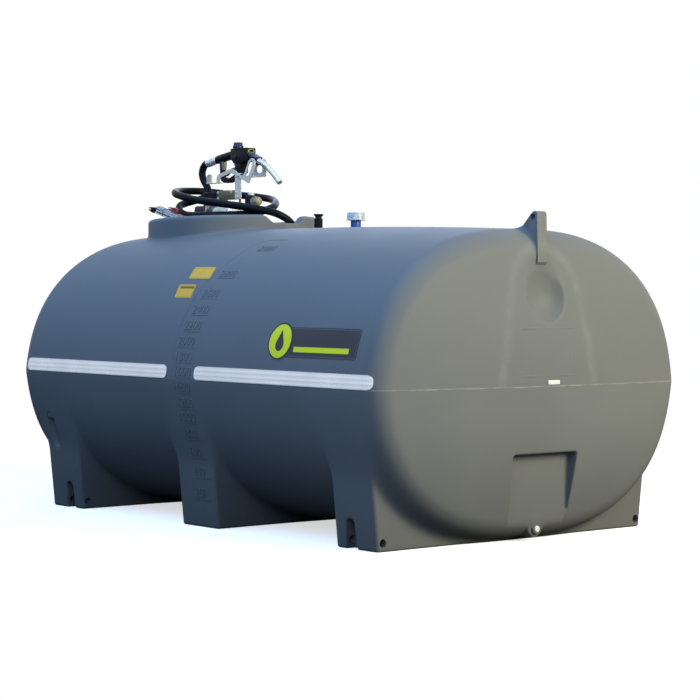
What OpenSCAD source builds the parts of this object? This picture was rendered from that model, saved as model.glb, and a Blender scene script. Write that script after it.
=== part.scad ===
/* [Barrel] */
// Length over both dished ends
tank_l = 2360; // [1800:10:3000]
// Width of the barrel at the mould seam
tank_w = 1560; // [1300:10:1800]
// Height of the barrel's top at mid length
tank_h = 1150; // [1000:10:1350]
// Height of the mould seam
seam_z = 563; // [480:1:640]
// Gap between the belly and the ground
belly_gap = 13; // [5:1:40]
// Thickness of the moulded wall
wall = 10; // [6:0.5:16]
// Drop of the top line from mid length to each end
crown_drop = 25; // [0:1:60]
// Squareness of the section above the seam, 2 is an ellipse
top_power = 2.57; // [2:0.01:4]
// Squareness of the section below the seam
low_power = 2.63; // [2:0.01:4]
// Share by which the section tapers to its top
top_taper = 0.096; // [0:0.001:0.2]
// Share by which the section tapers to its belly
low_taper = 0.109; // [0:0.001:0.2]

/* [Dished ends] */
// Radius round the rim of each end
end_round = 80; // [40:1:120]
// Depth of the dish in front of its rim
end_bulge = 55; // [20:1:100]
// Radius of the finger scoop's edge under each lug
scoop_r = 103; // [60:1:130]
// Depth of the finger scoop
scoop_depth = 45; // [20:1:60]
// Height of the scoop's middle
scoop_z = 900; // [850:1:950]
// Width of the drain recess at its top edge
recess_w = 330; // [200:2:400]
// Width of the drain recess at ground level
recess_low_w = 280; // [160:2:360]
// Height of the drain recess's top edge
recess_top = 322; // [200:2:420]
// Depth of the recess floor behind the dish's middle
recess_depth = 68; // [60:1:72]
// Height of the drain plug's axis
drain_z = 46; // [46:1:80]
// Diameter of the drain thread
drain_bore = 30; // [20:1:40]

/* [Saddles] */
// Distance of an end saddle's outer face behind the end's middle
saddle_inset = 163; // [160:1:220]
// Length of an end saddle along the tank
end_saddle_l = 219; // [160:1:260]
// Length of the centre saddle along the tank
mid_saddle_l = 226; // [160:1:260]
// Width of a saddle on the ground
foot_w = 1349; // [1250:1:1400]
// Outward lean of a saddle's sides, per unit of height
foot_lean = 0.11; // [0.05:0.01:0.15]
// Width of the strap notch in an end saddle's side
notch_w = 46; // [30:1:70]
// Height of the strap notch
notch_h = 109; // [80:1:140]
// Depth of the strap notch
notch_d = 42; // [30:1:60]
// Distance from a saddle's outer face to its notch
notch_inset = 112; // [90:1:120]
// Diameter of the tie-down bore
tie_bore = 30; // [16:1:32]
// Height of the tie-down bore
tie_z = 31; // [29:1:40]
// Distance of a tie-down bore from the saddle's side on the ground
tie_inset = 24.5; // [24:0.5:50]

/* [Lifting lugs] */
// Thickness of a lug across the tank
lug_w = 50; // [30:1:80]
// Height of a lug above the barrel's top at mid length
lug_rise = 41; // [30:1:60]
// Distance of a lug's outer face behind the end's middle
lug_inset = 47; // [40:1:54]
// Length of a lug's flat top
lug_top_l = 16; // [10:1:30]
// Diameter of the shackle bore
lug_bore = 22; // [14:1:24]

/* [Pump well] */
// Distance of the well's axis behind the far end's middle
well_inset = 525; // [490:1:560]
// Outer radius of the collar round the well
collar_r = 345; // [330:1:360]
// Thickness of the folded collar
collar_t = 45; // [36:1:60]
// Height of the collar's rim above the barrel's top
collar_rise = 48; // [40:1:90]
// Radius of the rim's outer edge
rim_round = 20; // [8:1:22]
// Depth of the well's floor below the rim
well_depth = 118; // [100:1:140]
// Depth of the hose notch in the rim
gap_depth = 30; // [15:1:36]
// Width of the hose notch at its bottom
gap_w = 120; // [80:1:160]
// Width of the hose notch at the rim
gap_top_w = 200; // [180:1:240]
// Diameter of the filler cap on the well's floor
filler_d = 190; // [120:2:220]

/* [Top fittings] */
// Distance of the breather vent and of the level gauge from mid length
fitting_x = 115; // [90:1:160]
// Diameter of the breather vent's body
vent_d = 33; // [24:1:44]
// Height of the breather vent
vent_h = 59; // [40:1:80]
// Diameter of the level gauge's base
gauge_d = 42; // [30:1:60]
// Height of the level gauge's base
gauge_base_h = 28; // [20:1:40]
// Diameter of the level gauge's clear cap
gauge_cap_d = 74; // [60:1:90]
// Height of the level gauge's clear cap
gauge_cap_h = 32; // [20:1:44]

/* [Labels and strips] */
// Height of the reflective strips
strip_h = 52; // [30:1:60]
// Thickness of strips and labels
strip_t = 1.5; // [0.8:0.1:3]
// Inner end of the longer strips, from mid length
strip_in = 96; // [60:1:160]
// Distance of the longer strips' outer end behind the end's middle
strip_inset = 92; // [86:1:280]
// Inner end of the shorter strips, from mid length
short_strip_in = 78; // [50:1:160]
// Distance of the shorter strips' outer end behind the end's middle
short_strip_inset = 128; // [86:1:280]
// Length of the side label
label_l = 500; // [200:5:520]
// Height of the side label
label_h = 106; // [60:1:120]

/* [Pump kit] */
// Length of the pump stand along the tank
stand_l = 154; // [145:1:170]
// Depth of the pump stand
stand_w = 90; // [60:1:120]
// Height of the pump stand above the well's floor
stand_h = 240; // [225:1:270]
// Thickness of galvanised sheet
sheet = 4; // [2:0.5:5]
// Diameter of the pump's motor
motor_d = 90; // [70:1:92]
// Length of the pump's motor
motor_l = 150; // [110:1:160]
// Diameter of the delivery hose
hose_d = 28; // [22:1:29]
// Diameter of the nozzle's spout
spout_d = 26; // [20:1:30]
// Diameter of the nozzle's grip
grip_d = 36; // [30:1:40]
// Diameter of the lever's pin
lever_pin = 8; // [6:0.5:10]

/* [Hidden] */

SIDES = 60;
half_l = tank_l/2;
rim_x = half_l - end_bulge;
flat_x = rim_x - end_round;
saddle_out = half_l - saddle_inset;
tie_y = foot_w/2 - tie_inset;
lug_out = half_l - lug_inset;
well_x = half_l - well_inset;
strip_out = half_l - strip_inset;
short_strip_out = half_l - short_strip_inset;
play = 0.3;

poly = "slategray";
poly_lit = "lightslategray";
zinc = "darkgray";

// ---- the tank's skin as a formula ----

function bent(v, p) = sign(v)*pow(abs(v), p);

// drop of the top line at length x
function crown(x) = crown_drop*pow(min(abs(x), rim_x)/rim_x, 2);

// how far the rim's round draws the section in at length x
function rim_inset(x) =
    abs(x) <= flat_x ? 0 : end_round - sqrt(pow(end_round, 2) - pow(abs(x) - flat_x, 2));

function half_h(x, up) = up ? tank_h - crown(x) - seam_z : seam_z - belly_gap;

// one point of the section at length x and angle a, moved in by inset
function section(x, a, inset) =
    let(up = sin(a) >= 0)
    let(p = up ? top_power : low_power)
    let(taper = up ? top_taper : low_taper)
    let(q = pow(abs(sin(a)), 2/p))
    [x, (tank_w/2 - inset)*bent(cos(a), 2/p)*(1 - taper*q),
        seam_z + (half_h(x, up) - inset)*sign(sin(a))*q];

function ring(x, inset) = [for (i = [0 : SIDES - 1]) section(x, 360*i/SIDES, inset)];

// the section at the rim shrunk by k about the seam's middle, moved to length x
function dish_ring(x, inset, k) =
    [for (v = ring(rim_x, inset)) [x, v[1]*k, seam_z + (v[2] - seam_z)*k]];

// half width of the skin at length x and height z, moved out by off
function side_y(x, z, off) =
    let(up = z >= seam_z)
    let(p = up ? top_power : low_power)
    let(taper = up ? top_taper : low_taper)
    let(inset = rim_inset(x) - off)
    let(q = abs(z - seam_z)/(half_h(x, up) - inset))
    (tank_w/2 - inset)*(1 - taper*q)*pow(1 - pow(q, p), 1/p);

// height of the skin above the middle line at length x
function top_z(x) = tank_h - crown(x);

// ---- general shapes ----

// a closed solid through rings of equally many points
module loft(rings) {
    n = len(rings[0]);
    last = len(rings) - 1;
    pts = [for (r = rings) each r];
    skin = [for (j = [0 : last - 1], i = [0 : n - 1])
        let(a = j*n + i)
        let(b = j*n + (i + 1) % n)
        each [[a, a + n, b + n], [a, b + n, b]]];
    caps = [[for (i = [0 : n - 1]) i], [for (i = [n - 1 : -1 : 0]) last*n + i]];
    polyhedron(points = pts, faces = concat(skin, caps), convexity = 6);
}

// a round tube swept along a route, with one ring at each point
function unit(v) = v/norm(v);
function heading(route, i) = unit(route[min(i + 1, len(route) - 1)] - route[max(i - 1, 0)]);
function tube_ring(route, i, r, sides) =
    let(t = heading(route, i))
    let(side = unit(abs(t[2]) > 0.95 ? cross(t, [0, 1, 0]) : cross(t, [0, 0, 1])))
    let(rise = cross(side, t))
    [for (s = [0 : sides - 1]) route[i] + r*(cos(360*s/sides)*rise + sin(360*s/sides)*side)];
module tube(route, d, sides) {
    loft([for (i = [0 : len(route) - 1]) tube_ring(route, i, d/2, sides)]);
}

// a smooth run through hand-set points, with a step about every gap between them
function spline(a, b, c, d, t) =
    0.5*(2*b + (c - a)*t + (2*a - 5*b + 4*c - d)*t*t + (3*b - 3*c + d - a)*t*t*t);
function smooth_route(pts, gap) =
    let(last = len(pts) - 1)
    [for (i = [0 : last - 1])
        let(steps = max(1, round(norm(pts[i + 1] - pts[i])/gap)))
        for (s = [0 : steps - 1])
            spline(pts[max(i - 1, 0)], pts[i], pts[i + 1], pts[min(i + 2, last)], s/steps), pts[last]];

// a rod between two points
module rod(a, b, d) {
    v = b - a;
    translate(a)
        rotate([0, acos(v[2]/norm(v)), atan2(v[1], v[0])])
            cylinder(d = d, h = norm(v), $fn = 32);
}

// an outline in X and Z, standing between two values of Y
module upright(outline, y0, y1) {
    translate([0, y1, 0])
        rotate([90, 0, 0])
            linear_extrude(y1 - y0) polygon(outline);
}

// a thin plate that lies on the skin, with an edge at each of the lengths xs and heights zs
module skin_patch(xs, zs, side) {
    rows = len(zs);
    edge = [for (x = xs) [for (k = [0 : 2*rows - 1])
        let(z = zs[k < rows ? k : 2*rows - 1 - k])
        [x, side*side_y(x, z, k < rows ? play : play + strip_t), z]]];
    if (side < 0) loft(edge);
    else loft([for (r = edge) [for (k = [2*rows - 1 : -1 : 0]) r[k]]]);
}
function steps(a, b, n) = [for (i = [0 : n]) a + (b - a)*i/n];

// ---- the moulded tank ----

module barrel_solid(inset, reach) {
    loft([for (i = [-4 : 4]) ring((flat_x + reach)*i/4, inset)]);
}

module end_solid(inset, start) {
    r = end_round - inset;
    rim = [for (a = [22.5 : 22.5 : 90]) ring(flat_x + r*sin(a), inset + r*(1 - cos(a)))];
    dish = [for (k = [0.85, 0.65, 0.4]) dish_ring(half_l - inset - end_bulge*k*k, end_round, k)];
    middle = [dish_ring(half_l - inset, end_round, 0.14)];
    loft(concat([ring(start, inset)], rim, dish, middle));
}

module mirrored_x(far) {
    if (far) mirror([1, 0, 0]) children();
    else children();
}

module scoop(grow) {
    ball = (pow(scoop_r, 2) + pow(scoop_depth, 2))/(2*scoop_depth);
    k = (scoop_z - seam_z)/(tank_h - crown_drop - end_round - seam_z);
    face = half_l - end_bulge*k*k;
    translate([face - scoop_depth + ball, 0, scoop_z]) sphere(ball + grow, $fn = 64);
}

recess_x = half_l - recess_depth;
module drain_recess(grow) {
    wide = recess_w/2 + grow;
    low = recess_low_w/2 + grow;
    translate([recess_x - grow, 0, 0])
        rotate([90, 0, 90])
            linear_extrude(recess_depth + 40)
                polygon([[-low, 0], [low, 0], [wide, recess_top + grow], [-wide, recess_top + grow]]);
}

boss_out = recess_x + 4;
module drain_boss(d, from) {
    translate([from, 0, drain_z]) rotate([0, 90, 0]) cylinder(d = d, h = boss_out - from, $fn = 48);
}

module tank_end(far) {
    mirrored_x(far) difference() {
        union() {
            difference() {
                end_solid(0, flat_x);
                scoop(0);
                drain_recess(0);
                difference() {
                    end_solid(wall, flat_x - 1);
                    scoop(wall);
                    drain_recess(wall);
                }
            }
            if (!far) drain_boss(drain_bore + 2*wall + 6, recess_x - 2*wall);
        }
        if (!far) drain_boss(drain_bore, recess_x - 3*wall);
    }
}
module near_end() { color(poly_lit) tank_end(false); }
module far_end() { color(poly) tank_end(true); }

floor_z = tank_h + collar_rise - well_depth;
rim_z = tank_h + collar_rise;
well_r = collar_r - collar_t;

module well_axis() { translate([-well_x, 0, 0]) children(); }

module barrel() {
    color(poly) difference() {
        barrel_solid(0, 0);
        barrel_solid(wall, 1);
        well_axis() translate([0, 0, seam_z]) cylinder(r = well_r + wall, h = tank_h, $fn = 96);
        for (x = [-fitting_x, fitting_x])
            translate([x, 0, tank_h - 4*wall]) cylinder(d = spigot_d + 2*play, h = 8*wall, $fn = 32);
    }
}

saddle_top = seam_z - 110;
module saddle_block(x0, x1, inset) {
    low = foot_w/2 - inset;
    high = low + foot_lean*saddle_top;
    translate([x0 + inset, 0, 0])
        rotate([90, 0, 90])
            linear_extrude(x1 - x0 - 2*inset)
                polygon([[-low, inset], [low, inset], [high, saddle_top], [-high, saddle_top]]);
}

// the strap notches, open at the ground and at the saddle's side
module strap_notches(x0, grow) {
    wide = notch_w/2 + grow;
    low = wide + 6;
    for (side = [-1, 1])
        translate([x0, side*(foot_w/2 - notch_d - grow), 0])
            rotate([90, 0, side > 0 ? 180 : 0])
                linear_extrude(2*notch_d) {
                    polygon([[-low, -1], [low, -1], [wide, notch_h - notch_w/2], [-wide, notch_h - notch_w/2]]);
                    translate([0, notch_h - notch_w/2]) circle(r = wide, $fn = 48);
                }
}

module tie_rods(x0, x1, d) {
    for (side = [-1, 1])
        translate([x0, side*tie_y, tie_z]) rotate([0, 90, 0]) cylinder(d = d, h = x1 - x0, $fn = 32);
}

module end_saddle(far) {
    inner = saddle_out - end_saddle_l;
    notch_x = saddle_out - notch_inset - notch_w/2;
    mirrored_x(far) difference() {
        saddle_block(inner, saddle_out, 0);
        barrel_solid(0, 0);
        strap_notches(notch_x, 0);
        tie_rods(inner - 1, saddle_out + 1, tie_bore);
        difference() {
            saddle_block(inner, saddle_out, wall);
            strap_notches(notch_x, wall);
            tie_rods(inner, saddle_out, tie_bore + 2*wall);
        }
    }
}
module near_saddle() { color(poly) end_saddle(false); }
module far_saddle() { color(poly) end_saddle(true); }

module centre_saddle() {
    color(poly) difference() {
        saddle_block(-mid_saddle_l/2, mid_saddle_l/2, 0);
        barrel_solid(0, 0);
        saddle_block(-mid_saddle_l/2, mid_saddle_l/2, wall);
    }
}

// a fin that stands on the end and the barrel, cut to their skin
module lifting_lug(far) {
    top = tank_h + lug_rise;
    tip = lug_out - lug_top_l;
    slope = 0.76;
    reach = 118;
    low = seam_z + 0.74*(tank_h - seam_z);
    mirrored_x(far) difference() {
        upright([[tip - reach, low], [lug_out, low], [lug_out, top - 8], [lug_out - 8, top], [tip, top],
            [tip - reach, top - slope*reach]], -lug_w/2, lug_w/2);
        barrel_solid(0, 0);
        end_solid(0, flat_x);
        translate([lug_out - lug_bore - 1, 0, top - lug_bore + 1])
            rotate([90, 0, 0]) cylinder(d = lug_bore, h = 2*lug_w, center = true, $fn = 32);
    }
}
module near_lug() { color(poly_lit) lifting_lug(false); }
module far_lug() { color(poly) lifting_lug(true); }

// ---- the pump well ----

// half the folded collar's section, with both walls reaching down to the floor
module collar_outline(inset) {
    low = floor_z - wall - (inset > 0 ? 1 : 0);
    r0 = well_r + inset;
    r1 = collar_r - inset;
    round_r = rim_round - inset/2;
    top = rim_z - inset;
    arc = [for (a = [0 : 15 : 90]) [r1 - round_r + round_r*cos(a), top - round_r + round_r*sin(a)]];
    polygon(concat([[r0, low], [r1, low]], arc, [[r0 + round_r/2, top], [r0, top - round_r/2]]));
}

// the notch in the rim that the hose may lie in, on the side towards mid length
module hose_gap(grow) {
    low = gap_w/2 + grow;
    wide = gap_top_w/2 + grow;
    z0 = rim_z - gap_depth - grow;
    translate([-well_x, 0, 0])
        rotate([90, 0, 90])
            linear_extrude(collar_r + wall)
                polygon([[-low, z0], [low, z0], [wide, rim_z + 1], [-wide, rim_z + 1]]);
}

module well_collar() {
    color(poly) difference() {
        well_axis() rotate_extrude($fn = 96) collar_outline(0);
        hose_gap(0);
        difference() {
            well_axis() rotate_extrude($fn = 96) collar_outline(wall);
            hose_gap(wall);
        }
        difference() {
            barrel_solid(0, 0);
            well_axis() cylinder(r = well_r + wall, h = 2*tank_h, $fn = 96);
        }
    }
}

module well_floor() {
    color(poly) well_axis() translate([0, 0, floor_z - wall]) cylinder(r = well_r, h = wall, $fn = 96);
}

filler_y = well_r - filler_d/2 - 25;
module filler_cap() {
    color("black") translate([-well_x, filler_y, floor_z]) {
        cylinder(d = filler_d, h = 14, $fn = 64);
        translate([0, 0, 14]) cylinder(d = filler_d - 24, h = 26, $fn = 64);
    }
}

module drain_plug() {
    ring_d = drain_bore + 2*wall + 4;
    color("gainsboro") translate([boss_out, 0, drain_z]) rotate([0, 90, 0]) {
        cylinder(d = ring_d, h = 5, $fn = 48);
        translate([0, 0, -2*wall]) cylinder(d = drain_bore - 2*play, h = 2*wall, $fn = 48);
        translate([0, 0, 5]) cylinder(d = drain_bore, h = 6, $fn = 32);
    }
}

// ---- strips and labels ----

module side_strips() {
    zs = steps(seam_z + 1, seam_z + 1 + strip_h, 2);
    color("lavender") for (side = [-1, 1]) {
        skin_patch(concat(steps(strip_in, flat_x, 6), steps(flat_x + 8, strip_out, 4)), zs, side);
        skin_patch(concat(steps(-short_strip_out, -flat_x - 2, 1), steps(-flat_x, -short_strip_in, 6)), zs, side);
    }
}

reflector_y = 20;
module end_reflectors() {
    color("white") for (side = [-1, 1])
        translate([side*(half_l + strip_t/2), reflector_y, seam_z + 14]) cube([strip_t, 60, 18], center = true);
}

label_inset = 90;
label_x = strip_out - label_inset - label_l;
label_z = 664;
module side_labels() {
    color("darkslategray") for (side = [-1, 1])
        skin_patch(steps(label_x, label_x + label_l, 4), steps(label_z, label_z + label_h, 6), side);
}

// each yellow label's two ends along the tank, then its foot and top below the tank's top
yellow_labels_at = [[-150, -14, 208, 163], [-164, -56, 281, 230]];
module yellow_labels() {
    color("gold") for (l = yellow_labels_at)
        skin_patch([l[0], l[1]], steps(tank_h - l[2], tank_h - l[3], 6), -1);
}

// ---- top fittings ----

spigot_d = 26;
module top_fitting(x) { translate([x, 0, top_z(x) + play]) children(); }
module spigot() { translate([0, 0, -2*wall]) cylinder(d = spigot_d, h = 2*wall + 1, $fn = 32); }

module breather_vent() {
    color("black") top_fitting(-fitting_x) {
        spigot();
        cylinder(d = vent_d, h = vent_h, $fn = 48);
        translate([0, 0, vent_h - 13]) cylinder(d = vent_d + 7, h = 13, $fn = 48);
    }
}

module gauge_base() {
    color("royalblue") top_fitting(fitting_x) {
        spigot();
        cylinder(d = gauge_d, h = gauge_base_h, $fn = 48);
    }
}

module gauge_cap() {
    color("whitesmoke") top_fitting(fitting_x) translate([0, 0, gauge_base_h])
        rotate_extrude($fn = 64)
            polygon([[0, 0], [gauge_cap_d/2 + 3, 0], [gauge_cap_d/2 + 3, 3], [gauge_cap_d/2 - 2, gauge_cap_h - 2],
                [gauge_cap_d/2 - 4, gauge_cap_h], [0, gauge_cap_h]]);
}

// ---- the pump kit ----

stand_x = -well_x - 20;
stand_x0 = stand_x - stand_l/2;
stand_x1 = stand_x + stand_l/2;
stand_y0 = -30;
stand_top = floor_z + stand_h;

// a bent sheet with two legs, a top and a short front plate
module pump_stand() {
    color("darkkhaki") translate([stand_x0, stand_y0, floor_z]) difference() {
        cube([stand_l, stand_w, stand_h]);
        translate([sheet, sheet, -1]) cube([stand_l - 2*sheet, stand_w, stand_h - sheet + 1]);
        translate([sheet, -1, -1]) cube([stand_l - 2*sheet, 2*sheet, stand_h - 40 + 1]);
    }
}

// the battery lead's switch, on the stand's outer leg
module switch_box() {
    color("black") translate([stand_x0 - play - 94, stand_y0, stand_top - 72]) {
        cube([94, 62, 70]);
        translate([22, -4, 18]) cube([50, 4, 34]);
    }
}

pump_y = stand_y0 - play - motor_d/2 - 4;
motor_z = floor_z + 128;
motor_x0 = stand_x - 34;
module pump_head() {
    color("slategray") {
        translate([motor_x0 - 86, pump_y - 50, floor_z + 74]) cube([86, 96, 104]);
        translate([motor_x0 - 73, pump_y - 35, floor_z]) cube([60, 70, 74]);
        translate([motor_x0 - 86, pump_y - 52, floor_z]) cube([86, 96, 8]);
    }
}

module pump_motor() {
    color("silver") translate([motor_x0, pump_y, motor_z]) rotate([0, 90, 0]) {
        cylinder(d = motor_d, h = motor_l - 10, $fn = 64);
        translate([0, 0, motor_l - 10]) cylinder(d = motor_d - 16, h = 10, $fn = 64);
    }
}

pipe_z = floor_z + 40;
pipe_x1 = motor_x0 + 100;
module outlet_pipe() {
    color("dimgray") {
        translate([motor_x0 - 13, pump_y, pipe_z]) rotate([0, 90, 0])
            cylinder(d = hose_d - 4, h = pipe_x1 - motor_x0 + 13, $fn = 32);
        translate([pipe_x1 - 40, pump_y, pipe_z]) rotate([0, 90, 0]) cylinder(d = hose_d + 6, h = 40, $fn = 6);
    }
}

filter_x = stand_x1 + 32;
filter_y = 4;
filter_z = floor_z + 175;
module suction_pipe() {
    color("dimgray") translate([filter_x, filter_y, floor_z]) {
        cylinder(d = 34, h = filter_z - floor_z, $fn = 32);
        cylinder(d = 60, h = 10, $fn = 6);
    }
}
module filter_head() {
    color("black") translate([filter_x, filter_y, filter_z]) {
        cylinder(d = 46, h = 42, $fn = 48);
        translate([0, 0, 42]) cylinder(d = 36, h = 12, $fn = 48);
    }
}
module filter_bowl() {
    color("burlywood") translate([filter_x, filter_y, filter_z + 20]) difference() {
        rotate([0, 90, 0]) cylinder(d = 52, h = 64, $fn = 48);
        translate([0, 0, -60]) cylinder(d = 46, h = 120, $fn = 48);
    }
}

// ---- the nozzle in its holster ----

// the grip's middle line, from the swivel to the valve body
grip_a = [stand_x - 115, 0, stand_top + 134];
grip_b = [stand_x + 20, 0, stand_top + 156];
grip_dir = unit(grip_b - grip_a);
body_x = stand_x + 25;
body_z = stand_top + 177;

// the valve block seen from the side, the same for the spout that plugs into it
module valve_block(half_y) {
    z = body_z;
    upright([[body_x - 20, z], [body_x + 94, z], [body_x + 98, z - 23], [body_x + 145, z - 41],
        [body_x + 153, z - 65], [body_x + 120, z - 71], [body_x + 90, z - 57], [body_x + 54, z - 61],
        [body_x + 50, z - 107], [body_x + 22, z - 107], [body_x - 6, z - 54], [body_x - 20, z - 46]],
        -half_y, half_y);
}
module nozzle_body() {
    color("black") {
        difference() {
            union() {
                valve_block(24);
                rod(grip_a, grip_b, grip_d);
            }
            lever_slot();
            lever_pin_rod(lever_pin);
        }
        lever_pin_rod(lever_pin);
    }
}

pivot_x = body_x + 20;
pivot_z = body_z - 84;
lever_t = 16;
pin_play = 0.1;
module lever_pin_rod(d) {
    translate([pivot_x, 0, pivot_z]) rotate([90, 0, 0]) cylinder(d = d, h = 48, center = true, $fn = 32);
}
module lever_slot() {
    upright([[body_x - 40, pivot_z - 24], [pivot_x + 13, pivot_z - 24], [pivot_x + 13, pivot_z + 15],
        [body_x - 40, pivot_z + 24]], -lever_t/2 - 1, lever_t/2 + 1);
}

module nozzle_lever() {
    color("dimgray") difference() {
        upright([[pivot_x + 8, pivot_z - 8], [pivot_x + 8, pivot_z + 8], [pivot_x - 8, pivot_z + 9],
            [pivot_x - 60, pivot_z + 1], [pivot_x - 100, pivot_z - 22], [pivot_x - 96, pivot_z - 32],
            [pivot_x - 56, pivot_z - 10], [pivot_x - 6, pivot_z - 9]], -lever_t/2, lever_t/2);
        lever_pin_rod(lever_pin + pin_play);
    }
}

// the guard hangs from the grip's rear and joins the valve body's foot
guard_z = stand_top + 40;
module nozzle_guard() {
    color("black") difference() {
        upright([[body_x - 116, body_z - 53], [body_x - 94, body_z - 49], [body_x - 97, guard_z + 22],
            [body_x - 48, guard_z + 10], [body_x + 22, body_z - 107], [body_x + 50, body_z - 107],
            [body_x + 50, body_z - 113], [body_x + 18, body_z - 119], [body_x - 40, guard_z - 8],
            [body_x - 104, guard_z]], -11, 11);
        rod(grip_a, grip_b, grip_d);
    }
}

module nozzle_cap() {
    color("black") translate([body_x + 4, 0, body_z]) {
        cylinder(d = 46, h = 14, $fn = 64);
        translate([0, 0, 14]) cylinder(d = 40, h = 12, $fn = 64);
    }
}

spout_start = [body_x + 135, 0, body_z - 57];
spout_route = [for (t = [0 : 0.125 : 1]) spout_start + [150*t, 0, -40*t - 56*t*t]];
module nozzle_spout() {
    color("gainsboro") difference() {
        tube(spout_route, spout_d, 12);
        valve_block(30);
    }
}

swivel_l = 33;
ferrule_l = 34;
module hose_swivel() {
    color("silver") {
        rod(grip_a - swivel_l*grip_dir, grip_a, grip_d - 4);
    }
}

// ---- the holster ----

holster_y = stand_y0 - 2*sheet;
post_x = stand_x1 - 26;
module holster_post() {
    color(zinc) translate([post_x, stand_y0 - sheet, stand_top - 38])
        cube([42, sheet, 102]);
}

// folded from one sheet: an arm in front, a cross piece under the valve body and a plate behind
module nozzle_holster() {
    arm_z = stand_top + 66;
    seat_z = body_z - 119 - play - sheet;
    back_y = 30;
    tab_x = stand_x - 148;
    tab_l = 88;
    color(zinc) {
        difference() {
            upright([[stand_x - 72, arm_z - 34], [stand_x - 72, arm_z - 7], [stand_x - 61, arm_z + 4],
                [stand_x + 32, arm_z + 27], [stand_x + 55, arm_z + 16], [stand_x + 104, arm_z - 9],
                [stand_x + 119, arm_z + 2], [stand_x + 138, arm_z + 34], [stand_x + 145, arm_z + 52],
                [stand_x + 164, arm_z + 64], [stand_x + 183, arm_z + 60], [stand_x + 194, arm_z + 46],
                [stand_x + 187, arm_z + 18], [stand_x + 168, arm_z - 13], [stand_x + 150, arm_z - 43],
                [stand_x + 108, arm_z - 25], [stand_x + 55, arm_z - 2], [stand_x + 24, arm_z + 6],
                [stand_x - 45, arm_z - 10], [stand_x - 56, arm_z - 34]], holster_y, holster_y + sheet);
            upright([[stand_x + 130, arm_z - 9], [stand_x + 140, arm_z + 20], [stand_x + 156, arm_z + 45],
                [stand_x + 167, arm_z + 54], [stand_x + 177, arm_z + 47], [stand_x + 165, arm_z + 19],
                [stand_x + 147, arm_z - 8], [stand_x + 139, arm_z - 18]], holster_y - 1, holster_y + sheet + 1);
        }
        translate([body_x + 24, stand_y0 + play, seat_z]) cube([86, back_y + sheet - stand_y0 - play, sheet]);
        translate([post_x + 42 + play, holster_y + sheet, seat_z])
            cube([body_x + 110 - post_x - 42 - play, 2*sheet, sheet]);
        difference() {
            translate([body_x + 60, back_y, seat_z]) cube([98, sheet, 78]);
            translate([body_x + 112, back_y + 10, arm_z + 22])
                rotate([90, 0, 0]) cylinder(d = 36, h = 20, $fn = 48);
        }
        translate([tab_x, holster_y + sheet, arm_z - 34]) cube([tab_l, 18, sheet]);
        translate([tab_x, holster_y + sheet, arm_z - 34]) cube([sheet, 32, 42]);
    }
}

// ---- the hose ----

// from the outlet under the motor, once round inside the well, up at the rim's notch, two loose turns
// over the collar and up to the nozzle
well_at = [-well_x, 0, floor_z];
hose_start = [pipe_x1, pump_y, pipe_z];
hose_end = grip_a - (swivel_l + ferrule_l)*grip_dir;
HOSE = [[165, -112, 41], [179, -176, 45], [135, -232, 51], [45, -256, 57], [-55, -252, 62],
    [-155, -215, 67], [-235, -120, 72], [-260, 0, 76], [-235, 120, 78], [-155, 215, 78],
    [-45, 255, 76], [65, 255, 72], [165, 208, 66], [233, 136, 62], [259, 74, 74], [269, 22, 108],
    [261, -14, 134], [225, -50, 156], [150, -112, 171], [45, -170, 184], [-65, -200, 201],
    [-165, -195, 220], [-245, -145, 236], [-290, -60, 244], [-290, 46, 246], [-237, 142, 236],
    [-135, 205, 225], [-35, 208, 212], [45, 172, 197], [125, 115, 182], [191, 48, 166],
    [189, -24, 150], [135, -102, 142], [57, -164, 144], [-25, -184, 144], [-101, -184, 148],
    [-175, -172, 164], [-229, -134, 190], [-247, -92, 216], [-241, -50, 232], [-229, -16, 246],
    [-233, 0, 270], [-244, 0, 296], [-245, 0, 322], [-234, 0, 346]];
module delivery_hose() {
    color("black") tube(smooth_route(concat([hose_start, hose_start + [60, 0, 0]], [for (p = HOSE) well_at + p],
        [hose_end - 14*grip_dir, hose_end]), 2.1*hose_d), hose_d, 10);
}
module hose_ferrule() {
    color("silver") rod(grip_a - (swivel_l + ferrule_l)*grip_dir, grip_a - swivel_l*grip_dir, grip_d);
}

// ---- the battery lead ----

hank_mid = well_at + [-135, -228, 130];
hank_tilt = 14.6;
hank_l = 200;
hank_w = 50;
hank_t = 32;
hank_tip = hank_l/2 + hank_w/2;
module on_hank() { translate(hank_mid) rotate([0, hank_tilt, 0]) children(); }
module lead_hank() {
    color("lightsteelblue") on_hank() translate([0, 0, -hank_t/2]) linear_extrude(hank_t) {
        square([hank_l, hank_w], center = true);
        for (side = [-1, 1]) translate([side*hank_l/2, 0]) circle(d = hank_w, $fn = 32);
    }
}
hank_dir = [cos(hank_tilt), 0, -sin(hank_tilt)];
lead_start = hank_mid + hank_tip*hank_dir;
lead_end = [stand_x - 65, pump_y - 50, floor_z + 100];
LEAD = [lead_start, lead_start + 14*hank_dir, well_at + [17, -214, 88], well_at + [10, -184, 92],
    well_at + [-25, -160, 98], well_at + [-60, -158, 100], lead_end - [0, 14, 0], lead_end];
module lead_tail() {
    color("lightsteelblue") tube(smooth_route(LEAD, 20), 8, 8);
}
module black_clamp() {
    color("black") on_hank() translate([-hank_tip - 44, -14, -11]) cube([44, 28, 22]);
}
module red_clamp() {
    color("firebrick") on_hank() translate([-40, -10, hank_t/2]) cube([60, 22, 18]);
}

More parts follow.
